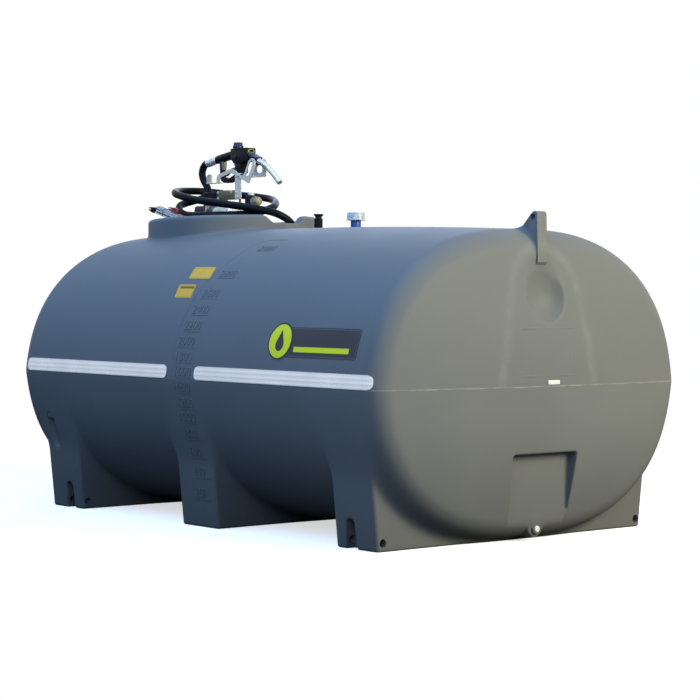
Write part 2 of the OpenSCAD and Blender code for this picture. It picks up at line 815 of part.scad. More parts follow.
barrel();
near_end();
far_end();
near_saddle();
centre_saddle();
far_saddle();
near_lug();
far_lug();
well_collar();
well_floor();
filler_cap();
drain_plug();
side_strips();
end_reflectors();
side_labels();
yellow_labels();
breather_vent();
gauge_base();
gauge_cap();
pump_stand();
pump_head();
pump_motor();
outlet_pipe();
suction_pipe();
filter_head();
filter_bowl();
switch_box();
holster_post();
nozzle_holster();
nozzle_body();
nozzle_cap();
nozzle_spout();
nozzle_guard();
nozzle_lever();
hose_swivel();
hose_ferrule();
delivery_hose();
lead_hank();
lead_tail();
black_clamp();
red_clamp();
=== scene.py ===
import math

import bmesh
import bpy
import numpy as np
from mathutils import Matrix, Vector


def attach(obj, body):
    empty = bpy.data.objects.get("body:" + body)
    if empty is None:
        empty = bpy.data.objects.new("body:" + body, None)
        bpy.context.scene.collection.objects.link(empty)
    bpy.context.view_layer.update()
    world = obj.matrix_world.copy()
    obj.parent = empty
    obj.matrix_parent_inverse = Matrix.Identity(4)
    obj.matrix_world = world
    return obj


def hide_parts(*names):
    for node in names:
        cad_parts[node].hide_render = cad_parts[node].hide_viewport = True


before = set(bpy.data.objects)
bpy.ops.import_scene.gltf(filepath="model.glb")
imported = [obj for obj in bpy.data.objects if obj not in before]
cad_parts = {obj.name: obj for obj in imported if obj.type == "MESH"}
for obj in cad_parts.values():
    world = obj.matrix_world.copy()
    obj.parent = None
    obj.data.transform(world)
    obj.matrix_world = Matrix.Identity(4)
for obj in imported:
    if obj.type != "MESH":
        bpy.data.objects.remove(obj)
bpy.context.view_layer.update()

MM = 0.001
NEAR_FAR = ((1, "near"), (-1, "far"))
FRONT_REAR = ((-1, "front"), (1, "rear"))
UP, FRONT, OUT = (0.0, 0.0, 1.0), (0.0, -1.0, 0.0), (1.0, 0.0, 0.0)

# ---- node trees ----


class Wiring:
    """Adds nodes to one tree in a line of code each."""

    def __init__(self, tree):
        self.tree = tree

    def put(self, socket, value):
        if isinstance(value, bpy.types.NodeSocket):
            self.tree.links.new(value, socket)
        elif value is not None:
            colour = socket.type == "RGBA" and len(value) == 3
            socket.default_value = (*value, 1.0) if colour else value

    def add(self, kind, inputs=(), **values):
        """A node with its inputs given by name or number."""
        node = self.tree.nodes.new("ShaderNode" + kind)
        for key, value in values.items():
            setattr(node, key, value)
        for key, value in dict(inputs).items():
            self.put(node.inputs[key], value)
        return node

    def math(self, operation, *values):
        return self.add("Math", enumerate(values), operation=operation).outputs[0]

    def plus(self, a, b):
        return self.math("ADD", a, b)

    def minus(self, a, b):
        return self.math("SUBTRACT", a, b)

    def times(self, a, *others):
        for b in others:
            a = self.math("MULTIPLY", a, b)
        return a

    def most(self, a, b):
        return self.math("MAXIMUM", a, b)

    def size(self, a):
        return self.math("ABSOLUTE", a)

    def off(self, a, b):
        """How far a lies from b."""
        return self.size(self.minus(a, b))

    def reach(self, a, b):
        """The length of two sides at a right angle."""
        return self.math("SQRT", self.plus(self.times(a, a), self.times(b, b)))

    def mix(self, amount, a, b, blend="MIX"):
        inputs = {"Factor": amount, 6: a, 7: b}
        return self.add("Mix", inputs, data_type="RGBA", blend_type=blend).outputs[2]

    def blend(self, amount, a, b):
        return self.add("MixShader", {0: amount, 1: a, 2: b}).outputs[0]

    def spread(self, value, low, high, to_low=0.0, to_high=1.0, smooth=False):
        """A value's range laid over another range, and held at its ends."""
        return self.add("MapRange", enumerate((value, low, high, to_low, to_high)), clamp=True,
                        interpolation_type="SMOOTHSTEP" if smooth else "LINEAR").outputs[0]

    def fall(self, value, low, high, smooth=False):
        """1 below the low end, 0 above the high end."""
        return self.spread(value, low, high, 1.0, 0.0, smooth)

    def noise(self, at, scale, detail=2.0, rough=0.5):
        inputs = {"Vector": at, "Scale": scale, "Detail": detail, "Roughness": rough}
        return self.add("TexNoise", inputs).outputs["Fac"]

    def cells(self, at, scale):
        return self.add("TexVoronoi", {"Vector": at, "Scale": scale}).outputs

    def place(self):
        return self.add("TexCoord").outputs["Object"]

    def axes(self, at):
        return self.add("SeparateXYZ", {0: at}).outputs

    def bump(self, height, strength, distance, normal=None):
        inputs = {"Strength": strength, "Distance": distance, "Height": height, "Normal": normal}
        return self.add("Bump", inputs).outputs[0]

    def cloudy(self, tone, patch, depth, speck):
        inputs = {"Tone": tone, "Patch": patch, "Depth": depth, "Speck": speck}
        return self.add("Group", inputs, node_tree=CLOUDY).outputs

    def grain(self, size, deep):
        return self.add("Group", {"Size": size, "Deep": deep}, node_tree=GRAIN).outputs[0]


# ---- camera, light and floor ----

CAMERA_AT = Vector((6.4015, -5.4605, 0.9058))
CAMERA_YAW, CAMERA_PITCH, CAMERA_ROLL = 49.1586, -1.6531, 0.3746
LENS = 108.167
SKY, SKY_STRENGTH, WHITE = (0.31, 0.54, 1.0), 0.38, (1.0, 1.0, 1.0)
FLOOR_LIFT, FLOOR_DULL, SHADOW_NEAR, SHADOW_FAR = 0.62, 0.14, 1.5, 3.2
LAMPS = [("sky_over", (-0.6, -2.0, 5.0), (-0.2, 0.0, 0.8), 4.5, 245.0, (0.24, 0.52, 1.0)),
         ("end_light", (5.8, 1.7, 2.7), (1.1, 0.0, 0.5), 2.4, 398.0, (0.97, 0.90, 0.62)),
         ("front_glow", (3.2, -3.6, 2.4), (0.9, -0.4, 0.7), 2.0, 50.0, (0.58, 0.76, 1.0)),
         ("back_fill", (-5.0, 4.5, 3.0), (0.0, 0.0, 0.5), 4.0, 112.0, (0.50, 0.68, 1.0))]


def place_object(name, data):
    thing = bpy.data.objects.new(name, data)
    bpy.context.collection.objects.link(thing)
    return thing


def make_camera():
    data = bpy.data.cameras.new("camera")
    data.lens, data.sensor_width, data.clip_end = LENS, 36.0, 100.0
    camera = place_object("camera", data)
    turn = Matrix.Translation(CAMERA_AT)
    for angle, axis in ((CAMERA_YAW, "Z"), (90.0 + CAMERA_PITCH, "X"), (CAMERA_ROLL, "Z")):
        turn = turn @ Matrix.Rotation(math.radians(angle), 4, axis)
    camera.matrix_world = turn
    bpy.context.scene.camera = camera


def make_light():
    """Soft lamps and a blue sky that only lights: it is seen and mirrored as white."""
    scene = bpy.context.scene
    scene.view_settings.view_transform = "Standard"
    scene.world = bpy.data.worlds.new("soft_sky")
    scene.world.use_nodes = True
    w = Wiring(scene.world.node_tree)
    w.tree.nodes.clear()
    shown = w.add("Background", {"Color": WHITE}).outputs[0]
    lit = w.add("Background", {"Color": SKY, "Strength": SKY_STRENGTH}).outputs[0]
    path = w.add("LightPath").outputs
    seen = w.most(path["Is Camera Ray"], path["Is Transmission Ray"])
    seen = w.most(seen, path["Is Glossy Ray"])
    w.add("OutputWorld", {0: w.blend(seen, lit, shown)})
    for name, at, target, size, power, colour in LAMPS:
        data = bpy.data.lights.new(name, "AREA")
        data.shape, data.size, data.energy, data.color = "SQUARE", size, power, colour
        light = place_object(name, data)
        light.location = at
        light.rotation_euler = (Vector(target) - light.location).to_track_quat("-Z", "Y").to_euler()


def make_floor():
    """A pale floor that keeps the shadow near the object and fades to plain white further out."""
    mesh = bpy.data.meshes.new("floor")
    bm = bmesh.new()
    bmesh.ops.create_grid(bm, x_segments=1, y_segments=1, size=40.0)
    bm.to_mesh(mesh)
    bm.free()
    material = bpy.data.materials.new("pale_floor")
    material.use_nodes = True
    w = Wiring(material.node_tree)
    w.tree.nodes.clear()
    pale = w.add("BsdfDiffuse", {"Color": WHITE}).outputs[0]
    lift = w.add("Emission", {"Strength": FLOOR_LIFT}).outputs[0]
    bright = w.add("AddShader", {0: pale, 1: lift}).outputs[0]
    squeezed = w.add("Mapping", {0: w.place(), "Scale": (1.0, 1.35, 1.0)}).outputs[0]
    far = w.add("VectorMath", {0: squeezed}, operation="LENGTH").outputs["Value"]
    fade = w.spread(far, SHADOW_NEAR, SHADOW_FAR, smooth=True)
    near = w.blend(fade, bright, w.add("Emission").outputs[0])
    dull = w.add("BsdfDiffuse", {"Color": (FLOOR_DULL,) * 3}).outputs[0]
    looked_at = w.add("LightPath").outputs["Is Camera Ray"]
    w.add("OutputMaterial", {0: w.blend(looked_at, dull, near)})
    mesh.materials.append(material)
    place_object("floor", mesh)


make_camera()
make_light()
make_floor()

# ---- tools for shaping pieces: offsets and outlines are in millimetres from a place in metres ----


def unit(v):
    return v / np.linalg.norm(v)


def near(at, *offset):
    """A place some millimetres from another."""
    return Vector(at) + MM * Vector(offset)


def edit(piece, change):
    """Open a piece's mesh, change it and close it."""
    bm = bmesh.new()
    bm.from_mesh(piece.data)
    change(bm)
    bm.to_mesh(piece.data)
    bm.free()


def to_object(bm, name):
    """A finished bmesh becomes a smooth object at the origin."""
    mesh = bpy.data.meshes.new(name)
    bm.normal_update()
    bm.to_mesh(mesh)
    bm.free()
    mesh.shade_smooth()
    return place_object(name, mesh)


def sharpen(piece, angle):
    """Keep the edges that turn sharply crisp."""
    def mark(bm):
        for e in bm.edges:
            if len(e.link_faces) == 2 and e.calc_face_angle(0.0) > math.radians(angle):
                e.smooth = False
    edit(piece, mark)


def done(piece, slot, *nodes, finish=None, body="tank"):
    """Give a piece its finish, its body and the solids that it stands for."""
    piece.data.materials.clear()
    piece.data.materials.append(FINISHES[finish or slot])
    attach(piece, body)
    if nodes:
        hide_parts(*nodes)
    return piece


def make(bm, name, slot, *nodes, crisp=None, **options):
    """Turn a bmesh into a finished piece, with its sharp edges kept crisp above an angle."""
    piece = to_object(bm, name)
    if crisp:
        sharpen(piece, crisp)
    return done(piece, slot, *nodes, **options)


def settle(piece):
    """Apply the piece's live modifiers for good."""
    graph = bpy.context.evaluated_depsgraph_get()
    mesh = bpy.data.meshes.new_from_object(piece.evaluated_get(graph), depsgraph=graph)
    old = piece.data
    piece.modifiers.clear()
    piece.data = mesh
    mesh.name = piece.name
    bpy.data.meshes.remove(old)
    return piece


def join(bm, part):
    """Add a finished bmesh to another."""
    mesh = bpy.data.meshes.new("part")
    part.to_mesh(mesh)
    part.free()
    bm.from_mesh(mesh)
    bpy.data.meshes.remove(mesh)


def cut_out(piece, bm):
    """Cut a closed shape out of a piece."""
    cutter = to_object(bm, "cutter")
    cut = piece.modifiers.new("cut", "BOOLEAN")
    cut.operation, cut.solver, cut.object = "DIFFERENCE", "EXACT", cutter
    settle(piece)
    bpy.data.objects.remove(cutter)


def round_edges(piece, width, segments):
    edge = piece.modifiers.new("edge", "BEVEL")
    edge.width, edge.segments = width * MM, segments
    edge.limit_method, edge.angle_limit = "ANGLE", math.radians(50)
    settle(piece).data.shade_smooth()


def points_of(mesh):
    flat = np.empty(3 * len(mesh.vertices))
    mesh.vertices.foreach_get("co", flat)
    return flat.reshape(-1, 3)


def move_points(mesh, points):
    mesh.vertices.foreach_set("co", points.reshape(-1))
    mesh.update()


def seat(bm, at, way=UP, roll=0.0, verts=None):
    """Move a shape made about the origin to its place, with its +Z along a way."""
    turn = Vector(way).to_track_quat("Z", "Y").to_matrix().to_4x4()
    where = Matrix.Translation(Vector(at)) @ turn @ Matrix.Rotation(roll, 4, "Z")
    bmesh.ops.transform(bm, matrix=where, verts=verts or bm.verts[:])


def bevel(bm, parts, width, segments, affect="EDGES"):
    bmesh.ops.bevel(bm, geom=parts, offset=width * MM, offset_type="OFFSET", segments=segments,
                    profile=0.5, affect=affect, clamp_overlap=True, material=-1)


def edges_of(verts):
    return list({e for v in verts for e in v.link_edges})


def new_verts(bm, first, outward=True):
    """The vertices made since the first ones, with their faces turned outward."""
    made = [v for v in bm.verts if v not in first]
    if outward:
        bmesh.ops.recalc_face_normals(bm, faces=list({f for v in made for f in v.link_faces}))
    return made


def soften(bm, width, segments, edges):
    """Round the edges that turn sharply."""
    bm.normal_update()
    picked = [e for e in edges if len(e.link_faces) == 2
              and e.calc_face_angle(0.0) > math.radians(40)]
    bevel(bm, picked, width, segments)


def add_lathe(bm, outline, sides=40):
    """Spin an outline of (radius, height) about Z into a closed shape."""
    first = set(bm.verts)
    row = [bm.verts.new((r * MM, 0.0, h * MM)) for r, h in outline]
    edges = [bm.edges.new(pair) for pair in zip(row, row[1:])]
    bmesh.ops.spin(bm, geom=row + edges, cent=(0, 0, 0), axis=UP, dvec=(0, 0, 0),
                   angle=2 * math.pi, steps=sides, use_merge=True, use_duplicate=False)
    bmesh.ops.remove_doubles(bm, verts=[v for v in bm.verts if v not in first], dist=1e-6)
    return new_verts(bm, first)


def lathe(name, outline, at, way, sides, *naming, **options):
    """A piece that is one spun outline."""
    bm = bmesh.new()
    add_lathe(bm, outline, sides)
    seat(bm, at, way)
    return make(bm, name, *naming, **options)


def add_rod(bm, radius, depth, sides, tip=None):
    """A round or many-sided rod about the origin, along Z."""
    tip = radius if tip is None else tip
    return bmesh.ops.create_cone(bm, cap_ends=True, segments=sides, radius1=radius * MM,
                                 radius2=tip * MM, depth=depth * MM)["verts"]


def add_block(bm, low, high, soft=0.0, segments=2, at=(0.0, 0.0, 0.0)):
    """A box between two corners with rounded edges."""
    first = set(bm.verts)
    made = bmesh.ops.create_cube(bm, size=1.0)["verts"]
    low, high = near(at, *low), near(at, *high)
    for v in made:
        v.co = Vector(((low if v.co[i] < 0 else high)[i] for i in range(3)))
    if soft:
        bevel(bm, edges_of(made), soft, segments)
    return new_verts(bm, first, outward=False)


def add_ribs(bm, count, radius, low, high, soft, chosen=None):
    """Small blocks set round Z at a radius, all of them or the chosen ones."""
    for s in chosen or range(count):
        made = add_block(bm, low, high, soft, 1)
        turn = Matrix.Rotation(2 * math.pi * s / count, 4, "Z")
        turn = turn @ Matrix.Translation((0.0, radius * MM, 0.0))
        bmesh.ops.transform(bm, matrix=turn, verts=made)


def add_slab(bm, outline, y0, y1, corner=0.0, soft=0.0, segments=2, corner_segments=4, at=(0, 0, 0)):
    """An outline in X and Z with rounded corners, made thick along Y."""
    first = set(bm.verts)
    face = bm.faces.new([bm.verts.new(near(at, x, y0, z)) for x, z in outline])
    if corner:
        bevel(bm, face.verts[:], corner, corner_segments, "VERTICES")
    face = next(f for f in bm.faces if any(v not in first for v in f.verts))
    up = bmesh.ops.extrude_face_region(bm, geom=[face])["geom"]
    lifted = [v for v in up if isinstance(v, bmesh.types.BMVert)]
    bmesh.ops.translate(bm, verts=lifted, vec=(0.0, (y1 - y0) * MM, 0.0))
    made = new_verts(bm, first)
    if soft:
        soften(bm, soft, segments, edges_of(made))
    return new_verts(bm, first, outward=False)


def add_bolt(bm, at, way, wide, tall, washer):
    """A hexagon head on its washer."""
    first = set(bm.verts)
    ring = add_rod(bm, washer, 1.4, 20)
    bmesh.ops.translate(bm, verts=ring, vec=(0, 0, 0.7 * MM))
    head = add_rod(bm, wide / 1.732, tall, 6)
    bmesh.ops.translate(bm, verts=head, vec=(0, 0, (1.4 + tall / 2) * MM))
    bevel(bm, [e for e in edges_of(head) if all(v.co.z > tall / 2 * MM for v in e.verts)], 0.9, 2)
    seat(bm, at, way, 0.3, new_verts(bm, first, outward=False))


def flowing(points, gap):
    """A smooth run through given points, with a step about every gap."""
    points = [np.asarray(p, float) for p in points]
    last, out = len(points) - 1, []
    for i in range(last):
        a, b, c, d = points[max(i - 1, 0)], points[i], points[i + 1], points[min(i + 2, last)]
        count = max(1, round(float(np.linalg.norm(c - b)) / gap))
        for s in range(count):
            t = s / count
            out.append(0.5 * (2 * b + (c - a) * t + (2 * a - 5 * b + 4 * c - d) * t ** 2
                              + (3 * b - 3 * c + d - a) * t ** 3))
    return out + [points[last]]


def add_sweep(bm, path, radii, sides=20, caps=True):
    """A round tube along a path, drawn out ring by ring."""
    first = set(bm.verts)
    path = [Vector(p) for p in path]
    ring = bmesh.ops.create_circle(bm, cap_ends=False, segments=sides, radius=1.0)["verts"]
    shape = [v.co.copy() for v in ring]
    ways = [(path[min(i + 1, len(path) - 1)] - path[max(i - 1, 0)]).normalized()
            for i in range(len(path))]
    turn = ways[0].to_track_quat("Z", "Y")
    edges = edges_of(ring)
    rings = []
    for i, at in enumerate(path):
        if i:
            made = bmesh.ops.extrude_edge_only(bm, edges=edges)["geom"]
            edges = [g for g in made if isinstance(g, bmesh.types.BMEdge)]
            turn = ways[i - 1].rotation_difference(ways[i]) @ turn
            step = {v: e.other_vert(v) for v in ring for e in v.link_edges if e.other_vert(v) in made}
            ring = [step[v] for v in ring]
        for v, base in zip(ring, shape):
            v.co = at + turn @ (base * radii[i])
        rings.append(ring)
    if caps:
        for end in (rings[0], rings[-1]):
            bmesh.ops.contextual_create(bm, geom=end)
    return new_verts(bm, first)


def cord_curve(name, path, radius, sides):
    """A cord as one open poly spline with a round section."""
    data = bpy.data.curves.new(name, "CURVE")
    data.dimensions = "3D"
    spline = data.splines.new("POLY")
    spline.points.add(len(path) - 1)
    for point, at in zip(spline.points, path):
        point.co = (*at, 1.0)
    data.bevel_depth, data.bevel_resolution, data.use_fill_caps = radius, sides, True
    spline.use_smooth = True
    return place_object(name, data)


# ---- finishes ----


def group_of(name, inputs, outputs):
    """An empty node group with its sockets: colours are tuples, numbers are floats."""
    tree = bpy.data.node_groups.new(name, "ShaderNodeTree")
    for label, value in inputs.items():
        kind = "NodeSocketColor" if isinstance(value, tuple) else "NodeSocketFloat"
        tree.interface.new_socket(label, in_out="INPUT", socket_type=kind).default_value = value
    for label, kind in outputs.items():
        tree.interface.new_socket(label, in_out="OUTPUT", socket_type="NodeSocket" + kind)
    start, end = tree.nodes.new("NodeGroupInput"), tree.nodes.new("NodeGroupOutput")
    return Wiring(tree), start.outputs, end.inputs


def make_cloudy():
    """A tone that varies in soft patches and fine specks."""
    w, start, end = group_of(
        "cloudy_tone", {"Tone": (0.5, 0.5, 0.5, 1.0), "Patch": 4.0, "Depth": 0.1, "Speck": 300.0},
        {"Tone": "Color", "Mask": "Float"})
    at = w.place()
    patches = w.noise(at, start["Patch"], 3.0, 0.55)
    specks = w.noise(at, start["Speck"], 1.0, 0.5)
    both = w.plus(w.times(patches, 0.7), w.times(specks, 0.3))
    bright = w.plus(w.times(w.minus(both, 0.5), start["Depth"], 2.0), 1.0)
    shade = w.add("CombineColor", {0: bright, 1: bright, 2: bright}).outputs[0]
    w.put(end["Tone"], w.mix(1.0, start["Tone"], shade, "MULTIPLY"))
    w.put(end["Mask"], both)
    return w.tree


def make_grain():
    """A moulded or cast surface's fine bumps."""
    w, start, end = group_of("fine_grain", {"Size": 500.0, "Deep": 0.2}, {"Normal": "Vector"})
    at = w.place()
    fine = w.noise(at, start["Size"], 2.0, 0.6)
    wide = w.noise(at, w.times(start["Size"], 0.12), 1.0, 0.5)
    both = w.plus(w.times(fine, 0.5), w.times(wide, 0.5))
    w.put(end["Normal"], w.bump(both, start["Deep"], 0.0008))
    return w.tree


CLOUDY, GRAIN = make_cloudy(), make_grain()


class Finish(Wiring):
    """A new material with its shader and output."""

    def __init__(self, name, rough=0.5, metal=0.0, specular=0.5, coat=0.0):
        self.material = bpy.data.materials.new(name)
        self.material.use_nodes = True
        super().__init__(self.material.node_tree)
        self.tree.nodes.clear()
        shader = self.add("BsdfPrincipled", {"Roughness": rough, "Metallic": metal,
                                             "Specular IOR Level": specular, "Coat Weight": coat})
        self.add("OutputMaterial", {0: shader.outputs[0]})
        self.inputs = shader.inputs

    def paint(self, tone, rough, normal):
        """Wire up the tone, the sheen and the small relief."""
        self.put(self.inputs["Base Color"], tone)
        self.put(self.inputs["Roughness"], rough)
        self.put(self.inputs["Normal"], normal)
        return self.material

    def sheen(self, mask, low, high):
        return self.spread(mask, 0.3, 0.7, low, high)


def plain_finish(name, tone, rough=0.5, metal=0.0, specular=0.5, patch=12.0, depth=0.18, speck=900.0,
                 deep=0.25, coat=0.0):
    """A moulded, cast or painted finish with its own variation, sheen and grain."""
    w = Finish(name, rough, metal, specular, coat)
    cloud = w.cloudy(tone, patch, depth, speck)
    return w.paint(cloud["Tone"], w.sheen(cloud["Mask"], rough - 0.12, rough + 0.12), w.grain(700.0, deep))


SEAM_Z = 0.563
PLATE_Z, PLATE_HALF_Y, PLATE_HALF_Z = 0.686, 0.134, 0.085
ARCH_Z, ARCH_R, ARCH_WIDE, ARCH_NARROW = 0.900, 0.165, 0.238, 0.163


def tank_finish():
    """Rotomoulded polyethylene: an even grey with a soft mottle, a mould line, grime low down, a pale arch over each
    scoop and painted shade that darkens the lower half.
    """
    w = Finish("grey_polyethylene", 0.5, 0.0, 0.13)
    at = w.place()
    x, y, z = w.axes(at)
    aside, along = w.size(y), w.size(x)
    cloud = w.cloudy((0.164, 0.170, 0.172), 2.2, 0.16, 420.0)
    # the mould line, clearest on the ends
    wander = w.times(w.minus(w.noise(at, 9.0), 0.5), 0.004)
    line = w.fall(w.size(w.plus(w.minus(z, SEAM_Z), wander)), 0.0012, 0.0038, True)
    patchy = w.spread(w.noise(at, 14.0), 0.38, 0.6, 0.25, 1.0)
    seam = w.times(line, patchy, w.spread(along, 1.02, 1.09, 0.25, 1.0), 0.45)
    tone = w.mix(seam, cloud["Tone"], (0.38, 0.38, 0.34))
    # grime on the low part, and painted shade: the tone darkens smoothly towards the bottom
    grime = w.spread(w.noise(at, 16.0, 4.0, 0.6), 0.35, 0.75, 0.0, 0.45)
    tone = w.mix(w.times(w.fall(z, 0.0, 0.16, True), grime), tone, (0.15, 0.145, 0.13))
    # painted shade: the tone darkens smoothly below z 0.5, most at the bottom
    painted_low_shade = w.spread(z, 0.10, 0.50, 0.72, 1.0, True)
    tone = w.mix(w.minus(1.0, painted_low_shade), tone, (0.05, 0.05, 0.045))
    # the mould's fixing plate shows as a faint raised frame on each end
    outside = w.most(w.minus(aside, PLATE_HALF_Y), w.minus(w.off(z, PLATE_Z), PLATE_HALF_Z))
    plate = w.times(w.fall(w.size(outside), 0.001, 0.004, True), w.spread(along, 1.10, 1.12))
    # a pale band arches over the scoop, down to the mould line
    legs = w.minus(aside, w.spread(z, SEAM_Z, 0.970, ARCH_WIDE, ARCH_NARROW))
    over = w.minus(w.reach(y, w.most(w.minus(z, ARCH_Z), 0.0)), ARCH_R)
    arch = w.add("Mix", {0: w.spread(z, 0.895, 0.930), 2: legs, 3: over}, data_type="FLOAT").outputs[0]
    pale_arch = w.times(w.fall(w.size(arch), 0.002, 0.034, True), w.spread(z, 0.566, 0.572),
                   w.spread(along, 1.08, 1.11), w.spread(w.noise(at, 11.0, 4.0, 0.6), 0.35, 0.75, 0.05, 0.26))
    tone = w.mix(pale_arch, tone, (0.33, 0.345, 0.345))
    ridge = w.plus(w.times(line, 0.6), w.times(plate, 0.9))
    normal = w.bump(ridge, 0.35, 0.002, w.grain(330.0, 0.16))
    return w.paint(tone, w.sheen(cloud["Mask"], 0.48, 0.62), normal)


STRIP_Z, STRIP_TALL, RIB_GAP = 0.5645, 0.051, 0.017


def tape_finish():
    """Reflective tape: bright film with fine ribs along it and a cell pattern."""
    w = Finish("reflective_tape", 0.32, 0.40, 0.6, 0.25)
    at = w.place()
    rib = w.math("SINE", w.times(w.minus(w.axes(at)[2], STRIP_Z), 2 * math.pi / RIB_GAP))
    rib = w.spread(rib, -0.6, 0.9)
    sparkle = w.spread(w.cells(at, 330.0)["Distance"], 0.1, 0.7)
    dust = w.spread(w.noise(at, 6.0, 4.0, 0.6), 0.35, 0.75)
    tone = w.mix(rib, (0.92, 0.86, 0.78), (1.0, 0.96, 0.88))
    tone = w.mix(w.times(sparkle, 0.12), tone, (0.92, 0.94, 0.98))
    tone = w.mix(w.times(dust, 0.16), tone, (0.45, 0.45, 0.46))
    return w.paint(tone, w.spread(dust, 0.0, 1.0, 0.26, 0.42), w.bump(rib, 0.25, 0.0012))


BADGE_X, BADGE_Z, BADGE_R = 0.574, 0.720, 0.060
LABEL_X, LABEL_Z, LABEL_HALF_X, LABEL_HALF_Z = 0.779, 0.717, 0.219, 0.053
LIME_Z, LIME_START, LIME_END = 0.6925, 0.6565, 0.9545


def within(w, value, half, edge):
    """1 where a value is smaller than a half width, with an edge this soft."""
    return w.fall(value, half, half + edge)


def dark_label_finish():
    """A dark film with a bright line, and a bright disc with a plain drop in it."""
    w = Finish("dark_label", 0.42, 0.0, 0.25)
    x, _, z = w.axes(w.place())
    edge = w.math("MINIMUM", w.minus(LABEL_HALF_X, w.off(x, LABEL_X)), w.minus(LABEL_HALF_Z, w.off(z, LABEL_Z)))
    border = within(w, w.off(edge, 0.0045), 0.0008, 0.0006)
    aside, above = w.off(x, BADGE_X), w.minus(z, BADGE_Z)
    reach = w.reach(aside, above)
    belly = within(w, w.reach(aside, w.plus(above, 0.013)), 0.0222, 0.0008)
    taper = w.minus(w.times(w.minus(0.042, above), 0.46), aside)
    cone = w.times(w.spread(taper, -0.0004, 0.0004), w.spread(above, -0.005, -0.0045))
    disc = w.times(within(w, reach, BADGE_R - 0.0008, 0.001), w.minus(1.0, w.most(belly, cone)))
    ends = w.times(w.spread(x, LIME_START - 0.0005, LIME_START + 0.0005),
                   w.fall(x, LIME_END - 0.0005, LIME_END + 0.0005))
    lime = w.most(disc, w.times(within(w, w.off(z, LIME_Z), 0.0088, 0.0008), ends))
    cloud = w.cloudy((0.022, 0.030, 0.044), 9.0, 0.25, 700.0)
    border = w.times(border, w.spread(reach, 0.0660, 0.0665))
    tone = w.mix(w.times(border, 0.25), cloud["Tone"], (0.30, 0.36, 0.38))
    tone = w.mix(lime, tone, (0.97, 0.91, 0.022))
    return w.paint(tone, w.sheen(cloud["Mask"], 0.26, 0.42), w.grain(260.0, 0.05))


def yellow_label_finish():
    """Yellow film with a thin dark frame, and a dark bar on the lower one."""
    w = Finish("yellow_label", 0.42, 0.0, 0.3)
    x, _, z = w.axes(w.place())
    upper = w.spread(z, 0.929, 0.931)
    mid_x, half_x, mid_z, half_z = (w.spread(upper, 0.0, 1.0, low, high) for low, high in (
        (-0.110, -0.082), (0.054, 0.068), (0.8945, 0.9645), (0.0255, 0.0225)))
    in_x = w.minus(half_x, w.off(x, mid_x))
    edge = w.math("MINIMUM", in_x, w.minus(half_z, w.off(z, mid_z)))
    frame_line = within(w, w.off(edge, 0.0035), 0.0005, 0.0005)
    bar = w.times(within(w, w.off(z, 0.9090), 0.0038, 0.0007), w.spread(in_x, 0.009, 0.0098))
    dark = w.most(w.times(frame_line, 0.55), w.times(bar, 0.9))
    cloud = w.cloudy((0.92, 0.455, 0.035), 20.0, 0.20, 800.0)
    return w.paint(w.mix(dark, cloud["Tone"], (0.04, 0.035, 0.02)), None, w.grain(260.0, 0.05))


def zinc_finish():
    """Galvanised sheet with its crystal pattern."""
    w = Finish("galvanised_steel", 0.42, 0.25, 0.5)
    pick = w.add("SeparateColor", {0: w.cells(w.place(), 95.0)["Color"]}).outputs
    cloud = w.cloudy((0.74, 0.67, 0.53), 14.0, 0.22, 500.0)
    tone = w.mix(w.times(pick[0], 0.28), cloud["Tone"], (0.88, 0.82, 0.68))
    return w.paint(tone, w.spread(pick[1], 0.0, 1.0, 0.34, 0.52), w.grain(420.0, 0.10))


def rubber_finish():
    """Hose rubber: near black, with a little dust."""
    w = Finish("black_rubber", 0.38, 0.0, 0.06)
    cloud = w.cloudy((0.006, 0.007, 0.011), 22.0, 0.35, 600.0)
    dust = w.spread(w.noise(w.place(), 30.0, 4.0, 0.65), 0.45, 0.75)
    tone = w.mix(w.times(dust, 0.30), cloud["Tone"], (0.020, 0.020, 0.023))
    return w.paint(tone, w.spread(dust, 0.0, 1.0, 0.34, 0.50), w.grain(900.0, 0.30))


FLANGE_X, PLATE_X, MOTOR_LABEL_Z = -0.671, -0.640, 1.222


def motor_finish():
    """Bright cast motor housing, dark at its flange, with a plain pale label round the middle."""
    w = Finish("motor_silver", 0.30, 0.75, 0.5)
    x, _, z = w.axes(w.place())
    label = w.times(within(w, w.off(x, PLATE_X), 0.027, 0.0005), within(w, w.off(z, MOTOR_LABEL_Z), 0.026, 0.0005))
    flange = w.fall(x, FLANGE_X, FLANGE_X + 0.001)
    tone = w.mix(label, w.cloudy((0.62, 0.63, 0.65), 18.0, 0.15, 800.0)["Tone"], (0.82, 0.74, 0.42))
    w.put(w.inputs["Metallic"], w.spread(w.most(label, flange), 0.0, 1.0, 0.75, 0.0))
    return w.paint(w.mix(flange, tone, (0.030, 0.045, 0.075)), None, w.grain(600.0, 0.12))


def clear_finish():
    """A frosted clear cap."""
    w = Finish("clear_plastic", 0.22)
    w.put(w.inputs["Transmission Weight"], 0.55)
    w.put(w.inputs["IOR"], 1.4)
    cloud = w.cloudy((0.80, 0.84, 0.90), 30.0, 0.10, 500.0)
    return w.paint(cloud["Tone"], w.sheen(cloud["Mask"], 0.16, 0.30), w.grain(300.0, 0.08))


